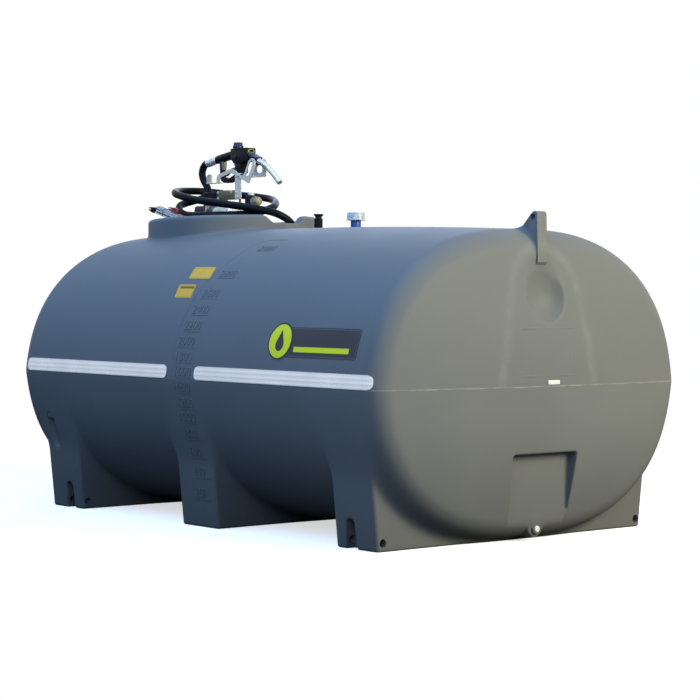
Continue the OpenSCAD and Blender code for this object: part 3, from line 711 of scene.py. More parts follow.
FINISHES = {made.name.split(".")[0]: made for made in (
    tank_finish(), tape_finish(), dark_label_finish(), yellow_label_finish(), clear_finish(),
    zinc_finish(), rubber_finish(), motor_finish(),
    plain_finish("black_plastic", (0.009, 0.010, 0.013), 0.36, specular=0.09, patch=30.0, depth=0.3, deep=0.3),
    plain_finish("white_plastic", (0.74, 0.74, 0.72), 0.34, patch=40.0, depth=0.08, deep=0.1),
    plain_finish("blue_plastic", (0.012, 0.10, 0.42), 0.33, patch=50.0, depth=0.2, deep=0.12),
    plain_finish("passivated_steel", (0.150, 0.130, 0.062), 0.46, 0.25, patch=16.0, depth=0.35, deep=0.12),
    plain_finish("cast_aluminium", (0.68, 0.66, 0.62), 0.36, 0.65, patch=40.0, speck=1200.0, deep=0.22),
    plain_finish("dark_fitting", (0.045, 0.050, 0.058), 0.42, 0.3, patch=30.0, depth=0.3),
    plain_finish("beige_plastic", (0.34, 0.26, 0.17), 0.42, patch=26.0, depth=0.25),
    plain_finish("cable_sheath", (0.84, 0.76, 0.66), 0.40, patch=40.0, depth=0.22),
    plain_finish("red_plastic", (0.34, 0.016, 0.018), 0.36, patch=40.0, depth=0.2),
    plain_finish("pump_paint", (0.024, 0.036, 0.062), 0.40, 0.25, patch=26.0, depth=0.3, deep=0.3),
    plain_finish("spout_alloy", (0.64, 0.60, 0.54), 0.32, 0.45, patch=30.0, depth=0.12, deep=0.15),
    plain_finish("stripe_blue", (0.10, 0.10, 0.16), 0.4, patch=30.0, depth=0.2),
    plain_finish("trigger_grey", (0.30, 0.285, 0.25), 0.42, 0.25, patch=40.0, depth=0.2),
    plain_finish("cover_blue", (0.010, 0.022, 0.075), 0.30, specular=0.22, patch=40.0, depth=0.3, coat=0.05),
    plain_finish("ring_yellow", (0.25, 0.27, 0.05), 0.36, patch=40.0, depth=0.2),
    # painted light: a paler copy of the zinc for the holster's back plate, standing in for the sun on it
    plain_finish("zinc_painted_sunlit", (0.88, 0.84, 0.74), 0.44, patch=20.0, depth=0.10, deep=0.10))}

# ---- the moulded tank, as one rule for how far a point lies outside it ----

HALF_L, HALF_W, TOP_Z, BELLY_Z = 1.180, 0.780, 1.150, 0.013
RIM_X, RIM_ROUND, BULGE, CROWN = 1.125, 0.071, 0.055, 0.025
TOP_POWER, LOW_POWER, TOP_TAPER, LOW_TAPER, TAPER_SOFT = 2.57, 2.63, 0.096, 0.109, 0.014
FOOT_HALF, FOOT_LEAN, SADDLE_TOP = 0.6745, 0.11, 0.46
SADDLE_IN, SADDLE_OUT, MID_SADDLE = 0.798, 1.017, 0.113
SADDLE_MID = (SADDLE_IN + SADDLE_OUT) / 2
NOTCH_X, NOTCH_HALF, NOTCH_TOP, NOTCH_DEEP = 0.882, 0.023, 0.086, 0.042
TIE_Y, TIE_Z, TIE_R = 0.650, 0.031, 0.015
WELL_X, WELL_R, RIM_Z, FLOOR_Z = -0.655, 0.300, 1.198, 1.080
COLLAR_X, COLLAR_R, RIM_RISE = -0.671, 0.362, 0.034
GAP_HALF, GAP_Z = 0.060, 1.168
LUG_OUT, LUG_TOP, LUG_HALF, LUG_TIP = 1.133, 1.191, 0.025, 1.117
SCOOP_X, SCOOP_Z, SCOOP_R, SCOOP_TALL = 1.2485, 0.897, 0.1340, 1.60
RECESS_X, RECESS_TOP, RECESS_HALF, RECESS_LOW = 1.119, 0.322, 0.165, 0.140
DRAIN_AT = (1.116, 0.0, 0.046)
VOXEL, VOXEL_QUICK = 0.0147, 0.026


def round_max(a, b, r):
    """Both solids at once, with their shared edge rounded to radius r."""
    u, v = np.maximum(a + r, 0.0), np.maximum(b + r, 0.0)
    return np.sqrt(u * u + v * v) + np.minimum(np.maximum(a, b) + r, 0.0) - r


def round_min(a, b, r):
    """Either solid, with a fillet of radius r where they meet."""
    return -round_max(-a, -b, r)


def gauge(y, z, half_w, half_up, half_low):
    """How far out a point of the section lies, 1 on the skin, and the slope of that number."""
    rise = z - SEAM_Z
    up = rise >= 0.0
    p = np.where(up, TOP_POWER, LOW_POWER)
    taper = np.where(up, TOP_TAPER, LOW_TAPER)
    high = np.where(up, half_up, half_low)
    q = np.abs(rise) / high
    root = np.sqrt(q * q + TAPER_SOFT ** 2)
    narrow = 1.0 - taper * np.minimum(root - TAPER_SOFT, 1.5)
    u = np.abs(y) / (half_w * narrow)
    g = np.maximum((u ** p + q ** p) ** (1.0 / p), 1e-4)
    by_u, by_q = (u / g) ** (p - 1.0), (q / g) ** (p - 1.0)
    slope_y = by_u / (half_w * narrow)
    slope_z = (by_q + by_u * u * taper * q / root / narrow) / high
    return g, np.sqrt(slope_y ** 2 + slope_z ** 2)


def core_gap(x, y, z):
    """Distance out of the barrel with its two dished ends."""
    drop = CROWN * (np.minimum(x, RIM_X) / RIM_X) ** 2
    g, slope = gauge(y, z, HALF_W, TOP_Z - drop - SEAM_Z, SEAM_Z - BELLY_Z)
    k, _ = gauge(y, z, HALF_W - RIM_ROUND, TOP_Z - CROWN - RIM_ROUND - SEAM_Z, SEAM_Z - BELLY_Z - RIM_ROUND)
    face = x - (HALF_L - BULGE * np.minimum(k, 1.4) ** 2)
    return round_max((g - 1.0) / slope, face, RIM_ROUND)


def saddle_gap(x, y, z):
    """Distance out of the three saddles, with the strap notches cut."""
    wide = (y - FOOT_HALF - FOOT_LEAN * z) / 1.006
    high = np.maximum(-z, z - SADDLE_TOP - 0.01)
    mid = round_max(round_max(x - MID_SADDLE, wide, 0.014), high, 0.009)
    reach = np.abs(x - SADDLE_MID) - (SADDLE_OUT - SADDLE_IN) / 2
    end = round_max(round_max(reach, wide, 0.014), high, 0.009)
    flare = NOTCH_HALF + 0.006 * np.clip(1.0 - z / NOTCH_TOP, 0.0, 1.0)
    slot = np.hypot(x - NOTCH_X, np.maximum(z - NOTCH_TOP, 0.0)) - flare
    slot = round_max(slot, FOOT_HALF - NOTCH_DEEP - y, 0.006)
    return np.minimum(mid, round_max(end, -slot, 0.004))


def collar_gap(x, y, z):
    """Distance out of the folded collar's block, before the well is cut."""
    block = round_max(np.hypot(x - COLLAR_X, y) - COLLAR_R, z - RIM_Z - RIM_RISE * (x - WELL_X), 0.016)
    return np.maximum(block, 0.85 - z)


def fin_root_gap(x, y, z):
    """The lifting fins as far as the skin carries them: a little inside the fin pieces."""
    slope = -(x - LUG_TIP) * 0.606 + (z - LUG_TOP) * 0.795
    back = x - LUG_OUT - 0.03 * np.maximum(LUG_TOP - z, 0.0)
    outline = round_max(round_max(back, z - LUG_TOP, 0.009), slope, 0.012)
    fin = np.maximum(round_max(outline, y - LUG_HALF, 0.009), 0.93 - z)
    return np.maximum(fin + 0.0025, z - 1.158)


def well_gap(x, y, z):
    return round_max(np.hypot(x - WELL_X, y) - WELL_R, FLOOR_Z - z, 0.016)


def rim_notch_gap(x, y, z):
    side = (y - GAP_HALF - (z - GAP_Z) * 1.1) / 1.487
    return np.maximum(round_max(side, GAP_Z + 0.008 - z, 0.008), WELL_X - x)


def scoop_gap(x, y, z):
    """The finger scoop under each fin: a ball drawn out upwards."""
    z = z - SCOOP_Z
    z = np.where(z > 0.0, z / SCOOP_TALL, z)
    return np.sqrt((x - SCOOP_X) ** 2 + y * y + z * z) - SCOOP_R


def boss_gap(x, y, z):
    """The flat round seat of the drain plug."""
    boss = round_max(np.hypot(y, z - 0.050) - 0.036, x - 1.1125, 0.004)
    return np.maximum(boss, 0.95 - x)


def recess_gap(x, y, z):
    side = y - RECESS_LOW - (RECESS_HALF - RECESS_LOW) * z / RECESS_TOP
    return round_max(round_max(side, z - RECESS_TOP, 0.014), RECESS_X - x, 0.007)


def dent_gap(x, y, z):
    """The shallow upright dent in the side of each far saddle."""
    y = y - FOOT_HALF - FOOT_LEAN * z - 0.012
    return np.sqrt((x + 0.948) ** 2 + (z - np.clip(z, 0.27, 0.37)) ** 2 + y * y) - 0.024


def skin_gap(p):
    """Distance out of the whole moulding."""
    x, along, aside, z = p[:, 0], np.abs(p[:, 0]), np.abs(p[:, 1]), p[:, 2]
    f = round_min(core_gap(along, aside, z), saddle_gap(along, aside, z), 0.038)
    f = round_min(f, collar_gap(x, aside, z), 0.016)
    f = round_min(f, fin_root_gap(along, aside, z), 0.020)
    f = round_max(f, -well_gap(x, aside, z), 0.011)
    f = round_max(f, -rim_notch_gap(x, aside, z), 0.010)
    high = np.clip((z - 0.92) / 0.07, 0.0, 1.0)
    f = round_max(f, -scoop_gap(along, aside, z), 0.004 + 0.022 * high)
    f = round_max(f, -dent_gap(x, aside, z), 0.008)
    f = round_max(f, -recess_gap(along, aside, z), 0.006)
    f = round_min(f, boss_gap(x, aside, z), 0.012)
    return np.maximum(f, -z)


def skin_slope(p, step=0.0004):
    """The way out of the moulding at each point."""
    out = np.empty_like(p)
    for axis in range(3):
        shift = step * np.eye(3)[axis]
        out[:, axis] = (skin_gap(p + shift) - skin_gap(p - shift)) / (2 * step)
    return out


def skin_way(p):
    way = skin_slope(p)
    return way / np.linalg.norm(way, axis=1)[:, None]


def onto_skin(mesh, rounds):
    """Move a mesh's points onto the moulding's skin."""
    p = points_of(mesh)
    for _ in range(rounds):
        slope = skin_slope(p)
        push = skin_gap(p) / np.maximum((slope ** 2).sum(1), 0.05)
        p -= np.clip(push, -0.006, 0.006)[:, None] * slope
    move_points(mesh, p)


def add_box(bm, corner):
    """A box whose corners a rule sets from the signs of X, Y and Z."""
    for v in bmesh.ops.create_cube(bm, size=1.0)["verts"]:
        v.co = corner(*(math.copysign(1.0, c) for c in v.co))


def tank_blank():
    """Barrel, saddles, collar and fins as plain closed forms that overlap."""
    bm = bmesh.new()
    bmesh.ops.create_cube(bm, size=2.0)
    bmesh.ops.subdivide_edges(bm, edges=bm.edges[:], cuts=36, use_grid_fill=True)
    ways = np.array([v.co[:] for v in bm.verts]) * (HALF_L, HALF_W, 0.56)
    inner, outer = np.zeros(len(ways)), np.full(len(ways), 2.0)
    middle = np.array([0.0, 0.0, SEAM_Z])
    for _ in range(26):
        t = (inner + outer) / 2
        at = middle + ways * t[:, None]
        inside = core_gap(np.abs(at[:, 0]), at[:, 1], at[:, 2]) < 0.0
        inner, outer = np.where(inside, t, inner), np.where(inside, outer, t)
    for v, at in zip(bm.verts, middle + ways * inner[:, None]):
        v.co = at
    for centre, half in ((-SADDLE_MID, SADDLE_OUT - SADDLE_MID), (0.0, MID_SADDLE),
                         (SADDLE_MID, SADDLE_OUT - SADDLE_MID)):
        def corner(i, j, k):
            z = SADDLE_TOP if k > 0 else 0.0
            return centre + i * half, j * (FOOT_HALF + FOOT_LEAN * z), z
        add_box(bm, corner)
    ring = add_rod(bm, COLLAR_R / MM + 4, 250, 72, COLLAR_R / MM)
    bmesh.ops.translate(bm, verts=ring, vec=(COLLAR_X, 0.0, RIM_Z - 0.115))
    for side in (-1, 1):
        def corner(i, j, k):
            x = LUG_OUT if i > 0 else LUG_TIP - 0.03 if k > 0 else 1.00
            return side * x, LUG_HALF * j, 1.158 if k > 0 else 0.98 if i > 0 else 1.08
        add_box(bm, corner)
    bmesh.ops.recalc_face_normals(bm, faces=bm.faces[:])
    return to_object(bm, "tank_moulding")


def tank_cutters():
    """The well, strap notches, drain recesses and scoops as closed forms."""
    bm = bmesh.new()
    well = add_rod(bm, WELL_R / MM, 300, 72)
    bmesh.ops.translate(bm, verts=well, vec=(WELL_X, 0.0, FLOOR_Z + 0.15))
    for side in (-1, 1):
        for across in (-1, 1):
            add_box(bm, lambda i, j, k: (side * (NOTCH_X + NOTCH_HALF * i),
                                         across * (0.80 if j > 0 else FOOT_HALF - NOTCH_DEEP),
                                         0.109 if k > 0 else -0.05))
        add_box(bm, lambda i, j, k: (side * (1.3 if i > 0 else RECESS_X),
                                     j * (RECESS_HALF if k > 0 else RECESS_LOW), RECESS_TOP if k > 0 else -0.02))
        ball = bmesh.ops.create_uvsphere(bm, u_segments=32, v_segments=16, radius=SCOOP_R)
        bmesh.ops.translate(bm, verts=ball["verts"], vec=(side * SCOOP_X, 0.0, SCOOP_Z))
    bmesh.ops.recalc_face_normals(bm, faces=bm.faces[:])
    return bm


def remesh(piece, size):
    even = piece.modifiers.new("even", "REMESH")
    even.mode, even.voxel_size, even.use_smooth_shade = "VOXEL", size, True
    return settle(piece)


def refine(piece, angle, shortest):
    """Split the edges along which the skin turns, and put the new points on it."""
    at = points_of(piece.data)
    way = skin_way(at)

    def split(bm):
        pairs = np.array([(e.verts[0].index, e.verts[1].index) for e in bm.edges])
        a, b = pairs[:, 0], pairs[:, 1]
        turns = (way[a] * way[b]).sum(1) < math.cos(math.radians(angle))
        long = np.linalg.norm(at[a] - at[b], axis=1) > shortest
        picked = [e for e, ok in zip(bm.edges, turns & long) if ok]
        bmesh.ops.subdivide_edges(bm, edges=picked, cuts=1, use_grid_fill=True)
        bmesh.ops.triangulate(bm, faces=[f for f in bm.faces if len(f.verts) > 4])
    edit(piece, split)
    onto_skin(piece.data, 4)


def make_fins():
    """The lifting fins as fine pieces of their own, each with its bore."""
    outline = [(-148, -129), (-148, -161), (-53, -203), (-21, -213), (5.49, -183), (0, -10), (-4, -3),
               (-10, 0), (-18, 0), (-30, -7.5)]
    for side, tag in NEAR_FAR:
        bm = bmesh.new()
        add_slab(bm, outline, -LUG_HALF / MM, LUG_HALF / MM, at=(LUG_OUT, 0.0, LUG_TOP))
        fin = to_object(bm, "lifting_fin_" + tag)
        bore = bmesh.new()
        add_rod(bore, 11, 200, 36)
        seat(bore, (1.110, 0.0, 1.170), (0.0, 1.0, 0.0))
        cut_out(fin, bore)
        round_edges(fin, 4.5, 3)
        if side < 0:
            half_turn = Matrix.Rotation(math.pi, 4, "Z")
            edit(fin, lambda bm: bmesh.ops.transform(bm, matrix=half_turn, verts=bm.verts[:]))
        sharpen(fin, 32.0)
        done(fin, "grey_polyethylene", tag + "_lug")


def make_tank():
    """Plain forms, remeshed evenly, drawn onto the skin and refined where it turns."""
    voxel = VOXEL
    tank = remesh(tank_blank(), voxel)
    cut_out(tank, tank_cutters())
    remesh(tank, voxel)
    onto_skin(tank.data, 10)
    for _ in range(2):
        edit(tank, lambda bm: bmesh.ops.smooth_vert(
            bm, verts=bm.verts[:], factor=0.5, use_axis_x=True, use_axis_y=True, use_axis_z=True))
        onto_skin(tank.data, 5)
    for angle, shortest in ((14.0, 0.006), (14.0, 0.006), (20.0, 0.0035)):
        refine(tank, angle, shortest)
    bores = bmesh.new()
    for side in (-1, 1):
        for across in (-1, 1):
            rod = add_rod(bores, TIE_R / MM, 300, 28)
            seat(bores, (side * SADDLE_MID, across * TIE_Y, TIE_Z), OUT, 0.0, rod)
    cut_out(tank, bores)
    tank.data.shade_smooth()
    sharpen(tank, 50.0)
    done(tank, "grey_polyethylene", "barrel", "near_end", "far_end", "near_saddle", "centre_saddle",
         "far_saddle", "well_collar", "well_floor")


# ---- hose and battery lead ----

WELL_AT = Vector((WELL_X, 0.0, FLOOR_Z))
STAND_X, STAND_TOP = -0.675, 1.320
GRIP_A = np.array([STAND_X - 0.115, 0.0, STAND_TOP + 0.134])
GRIP_B = np.array([STAND_X + 0.020, 0.0, STAND_TOP + 0.156])
GRIP_DIR = unit(GRIP_B - GRIP_A)
PUMP_Y, MOTOR_X0, MOTOR_Z = -0.0793, -0.709, 1.208
HOSE_D, SWIVEL_L, FERRULE_L = 0.0315, 0.033, 0.034
HOSE_START = Vector((-0.609, PUMP_Y, 1.120))
HOSE_END = GRIP_A - (SWIVEL_L + FERRULE_L) * GRIP_DIR
HOSE = [(165, -112, 41), (179, -176, 45), (135, -232, 51), (45, -256, 57), (-55, -252, 62),
        (-155, -215, 67), (-235, -120, 72), (-260, 0, 76), (-235, 120, 78), (-155, 215, 78),
        (-45, 255, 76), (65, 255, 72), (165, 208, 66), (226, 158, 62), (254, 116, 72), (271, 80, 96),
        (273, 42, 121), (250, -12, 144), (178, -84, 163), (66, -156, 181), (-52, -194, 199),
        (-155, -195, 220), (-236, -145, 236), (-281, -60, 244), (-282, 46, 246), (-232, 142, 236),
        (-135, 205, 225), (-35, 208, 212), (45, 172, 197), (119, 115, 182), (176, 48, 164),
        (178, -24, 144), (132, -102, 132), (57, -164, 130), (-25, -186, 130), (-101, -188, 134),
        (-166, -176, 152), (-212, -140, 176), (-228, -96, 190), (-221, -52, 202), (-206, -16, 216),
        (-203, 2, 238), (-215, 5, 264), (-234, 2, 291), (-243, 0, 319), (-234, 0, 346)]
LEAD_D, LEAD_END = 0.0070, Vector((STAND_X - 0.065, PUMP_Y - 0.050, FLOOR_Z + 0.100))
LEAD_TAIL = [(-60, -158, 100), (-25, -160, 98), (22, -168, 92), (43, -196, 88), (38, -221, 87)]
HANK_MID, HANK_TILT, HANK_L = near(WELL_AT, -122.9, -228.0, 126.9), math.radians(14.6), 0.225
HANK_DIR = Vector((math.cos(HANK_TILT), 0.0, -math.sin(HANK_TILT)))
HANK_UP = Vector((math.sin(HANK_TILT), 0.0, math.cos(HANK_TILT)))


def length_of(path):
    return float(sum(np.linalg.norm(np.subtract(b, a)) for a, b in zip(path, path[1:])))


def make_hose(ferrule):
    stations = [HOSE_START, near(HOSE_START, 60, 0, 0)] + [near(WELL_AT, *p) for p in HOSE]
    path = flowing(stations + [HOSE_END - 0.014 * GRIP_DIR, HOSE_END], 0.011)
    hose = cord_curve("delivery_hose_tube", path, HOSE_D / 2 - 0.0002, 7)
    done(hose, "black_rubber", "delivery_hose")
    tuple(path[0])
    length_of(path)


def hank_point(along, across, up):
    """A place in the hank, in millimetres along, across and above its middle."""
    return HANK_MID + MM * (along * HANK_DIR + across * Vector((0.0, 1.0, 0.0)) + up * HANK_UP)


def hank_path():
    """The lead folded to and fro: three turns beside each other in each of three layers."""
    path = []
    for layer, up in enumerate((-11.2, -1.0, 9.6)):
        widths = (11.0, 15.0, 20.5) if layer % 2 else (20.5, 14.8, 11.0)
        for turn, wide in enumerate(widths):
            after = widths[min(turn + 1, 2)]
            for s in range(24):
                a = 2 * math.pi * s / 24
                r = wide + (after - wide) * s / 24
                straight = HANK_L / MM / 2 - 4 * turn
                along = straight * (1 if math.cos(a) > 0 else -1) + r * math.cos(a)
                lift = 1.2 * math.sin(3 * a + turn + layer)
                path.append(hank_point(along, -r * math.sin(a), up + lift))
    return path


def make_lead():
    """The lead's route: out of the pump, along the well and round the hank."""
    start = HANK_MID + (HANK_L / 2 + 0.035) * HANK_DIR
    tail = [LEAD_END, near(LEAD_END, 0, -14, 0)] + [near(WELL_AT, *p) for p in LEAD_TAIL]
    path = flowing(tail + [start] + hank_path(), 0.006)
    lead = cord_curve("battery_lead", path, LEAD_D / 2, 4)
    return done(lead, "cable_sheath", "lead_hank", "lead_tail"), path


def clamp_jaw(long, side):
    """One jaw's outline: thin at its tip, thick by the hinge."""
    jaw = [(-long, side * 1.6), (long, side * 1.6), (long, side * 3.4), (long * 0.3, side * 6.6),
           (-long * 0.4, side * 8.4), (-long, side * 6.6)]
    return jaw if side > 0 else jaw[::-1]


def make_clamps(lead, path):
    """The two battery clamps, two ties round the hank and the lead's colour stripe."""
    turn = Matrix((-HANK_DIR, (0.0, -1.0, 0.0), HANK_UP)).transposed().to_4x4()
    for tag, long, grow, at in (("black", 21.5, (1.0, 1.5, 1.45), hank_point(-159.5, 0, -8)),
                                ("red", 29.5, (1.0, 1.0, 1.0), hank_point(-22.5, 1, 25.5))):
        bm = bmesh.new()
        for side in (-1, 1):
            add_slab(bm, clamp_jaw(long, side), -8.5, 8.5, 1.2, 1.0, 2, 2)
        hinge = add_rod(bm, 3.0, 19, 20)
        bmesh.ops.rotate(bm, verts=hinge, cent=(0, 0, 0), matrix=Matrix.Rotation(math.pi / 2, 3, "X"))
        bmesh.ops.scale(bm, vec=grow, verts=bm.verts[:])
        bmesh.ops.transform(bm, matrix=Matrix.Translation(at) @ turn, verts=bm.verts[:])
        make(bm, "clamp_" + tag, tag + "_plastic", tag + "_clamp", crisp=35)
    bm = bmesh.new()
    for along in (-62, 52):
        ring = []
        for s in range(33):
            a = 2 * math.pi * s / 32
            wide, tall = (size * math.copysign(abs(c) ** 0.35, c)
                          for size, c in ((24.6, math.cos(a)), (15.2, math.sin(a))))
            ring.append(hank_point(along, wide, tall))
        add_sweep(bm, ring, [1.4 * MM] * 33, 8)
    make(bm, "hank_ties", "red_plastic")
    stripe = cord_curve("lead_stripe", [near(p, 0, -1.8, 3.0) for p in path[::2]], 0.0010, 1)
    done(stripe, "blue_plastic", finish="stripe_blue")
    tuple(path[0])
    length_of(path)


# ---- marks, strips and labels on the skin ----

MARKS = [(3000, 0.110, 1.052), (2800, 0.041, 0.949), (2600, 0.011, 0.873), (2400, -0.002, 0.811),
         (2200, -0.016, 0.750), (2000, -0.030, 0.691), (1800, -0.028, 0.633), (1600, -0.024, 0.577),
         (1400, -0.029, 0.519), (1200, -0.021, 0.459), (1000, -0.026, 0.405), (800, -0.016, 0.342),
         (600, -0.014, 0.272), (400, -0.010, 0.196), (200, -0.008, 0.114)]
PANEL_EDGE = [(0.185, 1.0915), (0.120, 1.0915), (0.064, 1.0890), (0.036, 1.0700), (0.026, 1.020),
              (0.008, 0.975), (-0.012, 0.930), (-0.026, 0.880), (-0.036, 0.812), (-0.047, 0.750),
              (-0.051, 0.690), (-0.049, 0.566)]


def side_points(xs, zs, side=-1):
    """Points on the outside of the moulding's long side at each length and height."""
    xs, zs = np.asarray(xs, float), np.asarray(zs, float)
    low, high = np.full(len(xs), 0.30), np.full(len(xs), 0.90)
    for _ in range(30):
        mid = (low + high) / 2
        inside = skin_gap(np.stack([xs, side * mid, zs], 1)) < 0.0
        low, high = np.where(inside, mid, low), np.where(inside, high, mid)
    at = np.stack([xs, side * low, zs], 1)
    return at, skin_way(at)


def skin_film(name, slot, x0, x1, z0, z1, side, thick, corner, columns, rows, nodes=(), lean=0.0):
    """A thin film with rounded corners that lies on the side."""
    bm = bmesh.new()
    bmesh.ops.create_grid(bm, x_segments=columns, y_segments=rows, size=1.0)
    grid = np.array([v.co[:] for v in bm.verts])
    half = (z1 - z0) / 2
    off = np.maximum(np.abs(grid[:, 1]) * half - half + corner, 0.0)
    short = corner - np.sqrt(np.maximum(corner ** 2 - off ** 2, 0.0))
    xs = (x0 + x1) / 2 + grid[:, 0] * ((x1 - x0) / 2 - short) + lean * grid[:, 1]
    at, way = side_points(xs, (z0 + z1) / 2 + grid[:, 1] * half, side)
    for v, p in zip(bm.verts, at + way * 0.4 * MM):
        v.co = p
    top = bmesh.ops.extrude_face_region(bm, geom=bm.faces[:])["geom"]
    lifted = [v for v in top if isinstance(v, bmesh.types.BMVert)]
    for v, n in zip(lifted, skin_way(np.array([v.co[:] for v in lifted]))):
        v.co += Vector(n) * thick * MM
    bmesh.ops.recalc_face_normals(bm, faces=bm.faces[:])
    make(bm, name, slot, *nodes, crisp=50)


def number_shape(text, wide, tall):
    """Flat raised digits, scaled to a width and height."""
    data = bpy.data.curves.new("digits_" + text, "FONT")
    data.body, data.size, data.extrude, data.resolution_u = text, 1.0, 0.012, 2
    holder = place_object("digits_" + text, data)
    graph = bpy.context.evaluated_depsgraph_get()
    mesh = bpy.data.meshes.new_from_object(holder.evaluated_get(graph), depsgraph=graph)
    bpy.data.objects.remove(holder)
    bpy.data.curves.remove(data)
    bm = bmesh.new()
    bm.from_mesh(mesh)
    bpy.data.meshes.remove(mesh)
    bmesh.ops.remove_doubles(bm, verts=bm.verts[:], dist=0.0005)
    low, high = ([pick(v.co[i] for v in bm.verts) for i in range(2)] for pick in (min, max))
    for v in bm.verts:
        x, y = ((v.co[i] - low[i]) / (high[i] - low[i]) for i in range(2))
        v.co = x * wide, y * tall, 0.0016 if v.co.z > 0.0 else -0.0012
    return bm


def bend_onto_side(bm, x0, z0):
    """Lay a flat shape on the side with its foot at x0 and z0."""
    _, way = side_points([x0 + 0.05], [z0 + 0.02])
    climb = math.sqrt(max(1.0 - float(way[0, 2]) ** 2, 0.05))
    flat = np.array([v.co[:] for v in bm.verts])
    at, out = side_points(x0 + flat[:, 0], z0 + flat[:, 1] * climb)
    for v, p in zip(bm.verts, at + out * flat[:, 2:3]):
        v.co = p


def make_marks():
    """Raised graduations with their lines, and the raised edge of their panel."""
    whole = bmesh.new()
    for value, x0, z0 in MARKS:
        line = bmesh.new()
        bmesh.ops.create_grid(line, x_segments=12, y_segments=1, size=0.5)
        for v in line.verts:
            v.co = Vector((v.co.x * 0.104 + 0.052, v.co.y * 0.0024 - 0.0075, 0.0012))
        bmesh.ops.solidify(line, geom=line.faces[:], thickness=0.0022)
        for part in (number_shape(str(value), 0.098 if value > 999 else 0.070, 0.036), line):
            bend_onto_side(part, x0, z0)
            join(whole, part)
    run = flowing([(x, 0.0, z) for x, z in PANEL_EDGE], 0.012)
    at, way = side_points([p[0] for p in run], [p[2] for p in run])
    add_sweep(whole, at - way * 0.0006, [0.0017] * len(at), 8)
    bmesh.ops.recalc_face_normals(whole, faces=whole.faces[:])
    make(whole, "graduation_marks", "grey_polyethylene", crisp=35)


def make_films():
    """The reflective strips and the labels."""
    for side, tag in FRONT_REAR:
        for end, x0, x1 in (("near", 0.096, 1.088), ("far", -1.052, -0.078)):
            nodes = ["side_strips"] if (tag, end) == ("front", "near") else []
            skin_film("strip_%s_%s" % (end, tag), "reflective_tape", x0, x1, STRIP_Z, STRIP_Z + STRIP_TALL,
                      side, 1.2, 0.020, 90, 10, nodes)
    edge = BADGE_R + 0.006
    for side, tag in FRONT_REAR:
        skin_film("side_label_" + tag, "dark_label", 0.562, 0.998, 0.664, 0.770, side, 0.6, 0.008, 60, 16,
                  ["side_labels"] if side < 0 else [])
        skin_film("side_disc_" + tag, "dark_label", BADGE_X - edge, BADGE_X + edge, BADGE_Z - edge,
                  BADGE_Z + edge, side, 1.2, edge - 0.0005, 24, 40)
    skin_film("yellow_label_upper", "yellow_label", -0.150, -0.014, 0.942, 0.987, -1, 0.6, 0.005, 16, 8,
              ["yellow_labels"], lean=-0.008)
    skin_film("yellow_label_lower", "yellow_label", -0.164, -0.056, 0.869, 0.920, -1, 0.6, 0.005, 14, 10,
              lean=-0.006)


def make_reflectors():
    for side, tag in NEAR_FAR:
        bm = bmesh.new()
        add_block(bm, (0, -30, -7.8), (2.8, 30, 7.8), 1.2, 2, at=(1.1800, 0.020, 0.577))
        if side < 0:
            bmesh.ops.scale(bm, vec=(-1.0, 1.0, 1.0), verts=bm.verts[:])
            bmesh.ops.reverse_faces(bm, faces=bm.faces[:])
        make(bm, "end_reflector_" + tag, "white_plastic", *(["end_reflectors"] if side > 0 else []))


# ---- fittings on the tank ----

VENT_AT, GAUGE_AT = (-0.115, 0.0, TOP_Z), (0.115, 0.0, TOP_Z)


def make_vent():
    """Ribbed stem, waist and flared cap."""
    bm = bmesh.new()
    add_lathe(bm, [(0, 0), (17.5, 0), (17.5, 3), (15, 5), (15, 33), (17.2, 35), (17.2, 39), (13.8, 42),
                   (13, 47), (18.6, 53.5), (20, 56), (19, 58.5), (0, 59)], 48)
    add_ribs(bm, 18, 14.6, (-1.2, -1, 4), (1.2, 2.2, 34.5), 0.4)
    seat(bm, VENT_AT)
    make(bm, "vent_stem_and_cap", "black_plastic", "breather_vent", crisp=40)


def make_gauge():
    """Blue threaded base and a frosted clear cap with a white drum inside."""
    bm = bmesh.new()
    add_lathe(bm, [(0, 0), (20.5, 0), (21, 1), (21, 4), (19, 6), (19, 23), (20.8, 24.5), (20.8, 27.8),
                   (0, 27.8)], 48)
    add_ribs(bm, 12, 18.8, (-1.6, -0.8, 6), (1.6, 1.8, 23.5), 0.5)
    seat(bm, GAUGE_AT)
    make(bm, "gauge_blue_base", "blue_plastic", "gauge_base", crisp=40)
    lathe("gauge_frosted_cap", [(0, 0.5), (38.5, 0.5), (39.8, 1.4), (39.6, 3.2), (36.2, 5.2), (34.8, 27),
                                (33.2, 31), (30, 32.2), (0, 32.2), (0, 30), (29, 30), (32.2, 26.2),
                                (33.4, 4.5), (0, 3.2)],
          near(GAUGE_AT, 0, 0, 27.8), UP, 56, "clear_plastic", "gauge_cap", crisp=30)
    bm = bmesh.new()
    add_lathe(bm, [(0, 0), (26.5, 0), (27, 0.8), (27, 15), (26.2, 16), (0, 16)])
    pin = add_rod(bm, 2.2, 18, 24)
    bmesh.ops.translate(bm, verts=pin, vec=(0.0, 0.0, 0.0165))
    seat(bm, near(GAUGE_AT, 0, 0, 32.5))
    make(bm, "gauge_inner_drum", "white_plastic", crisp=40)


def make_drain():
    """Grey threaded ring in the recess with its white plug."""
    lathe("drain_ring", [(12.5, -4), (12.5, 4.8), (14, 5.6), (16.5, 5.6), (18.2, 4.4), (19, -4)],
          DRAIN_AT, OUT, 48, "grey_polyethylene")
    bm = bmesh.new()
    add_lathe(bm, [(0, -6), (12.2, -6), (12.2, 6), (11.2, 8.8), (9.8, 9.6), (3, 10), (0, 10)])
    add_ribs(bm, 6, 10, (-1, -0.6, 4), (1, 0.6, 9.6), 0.3)
    seat(bm, DRAIN_AT, OUT)
    make(bm, "drain_plug_white", "white_plastic", "drain_plug", crisp=40)


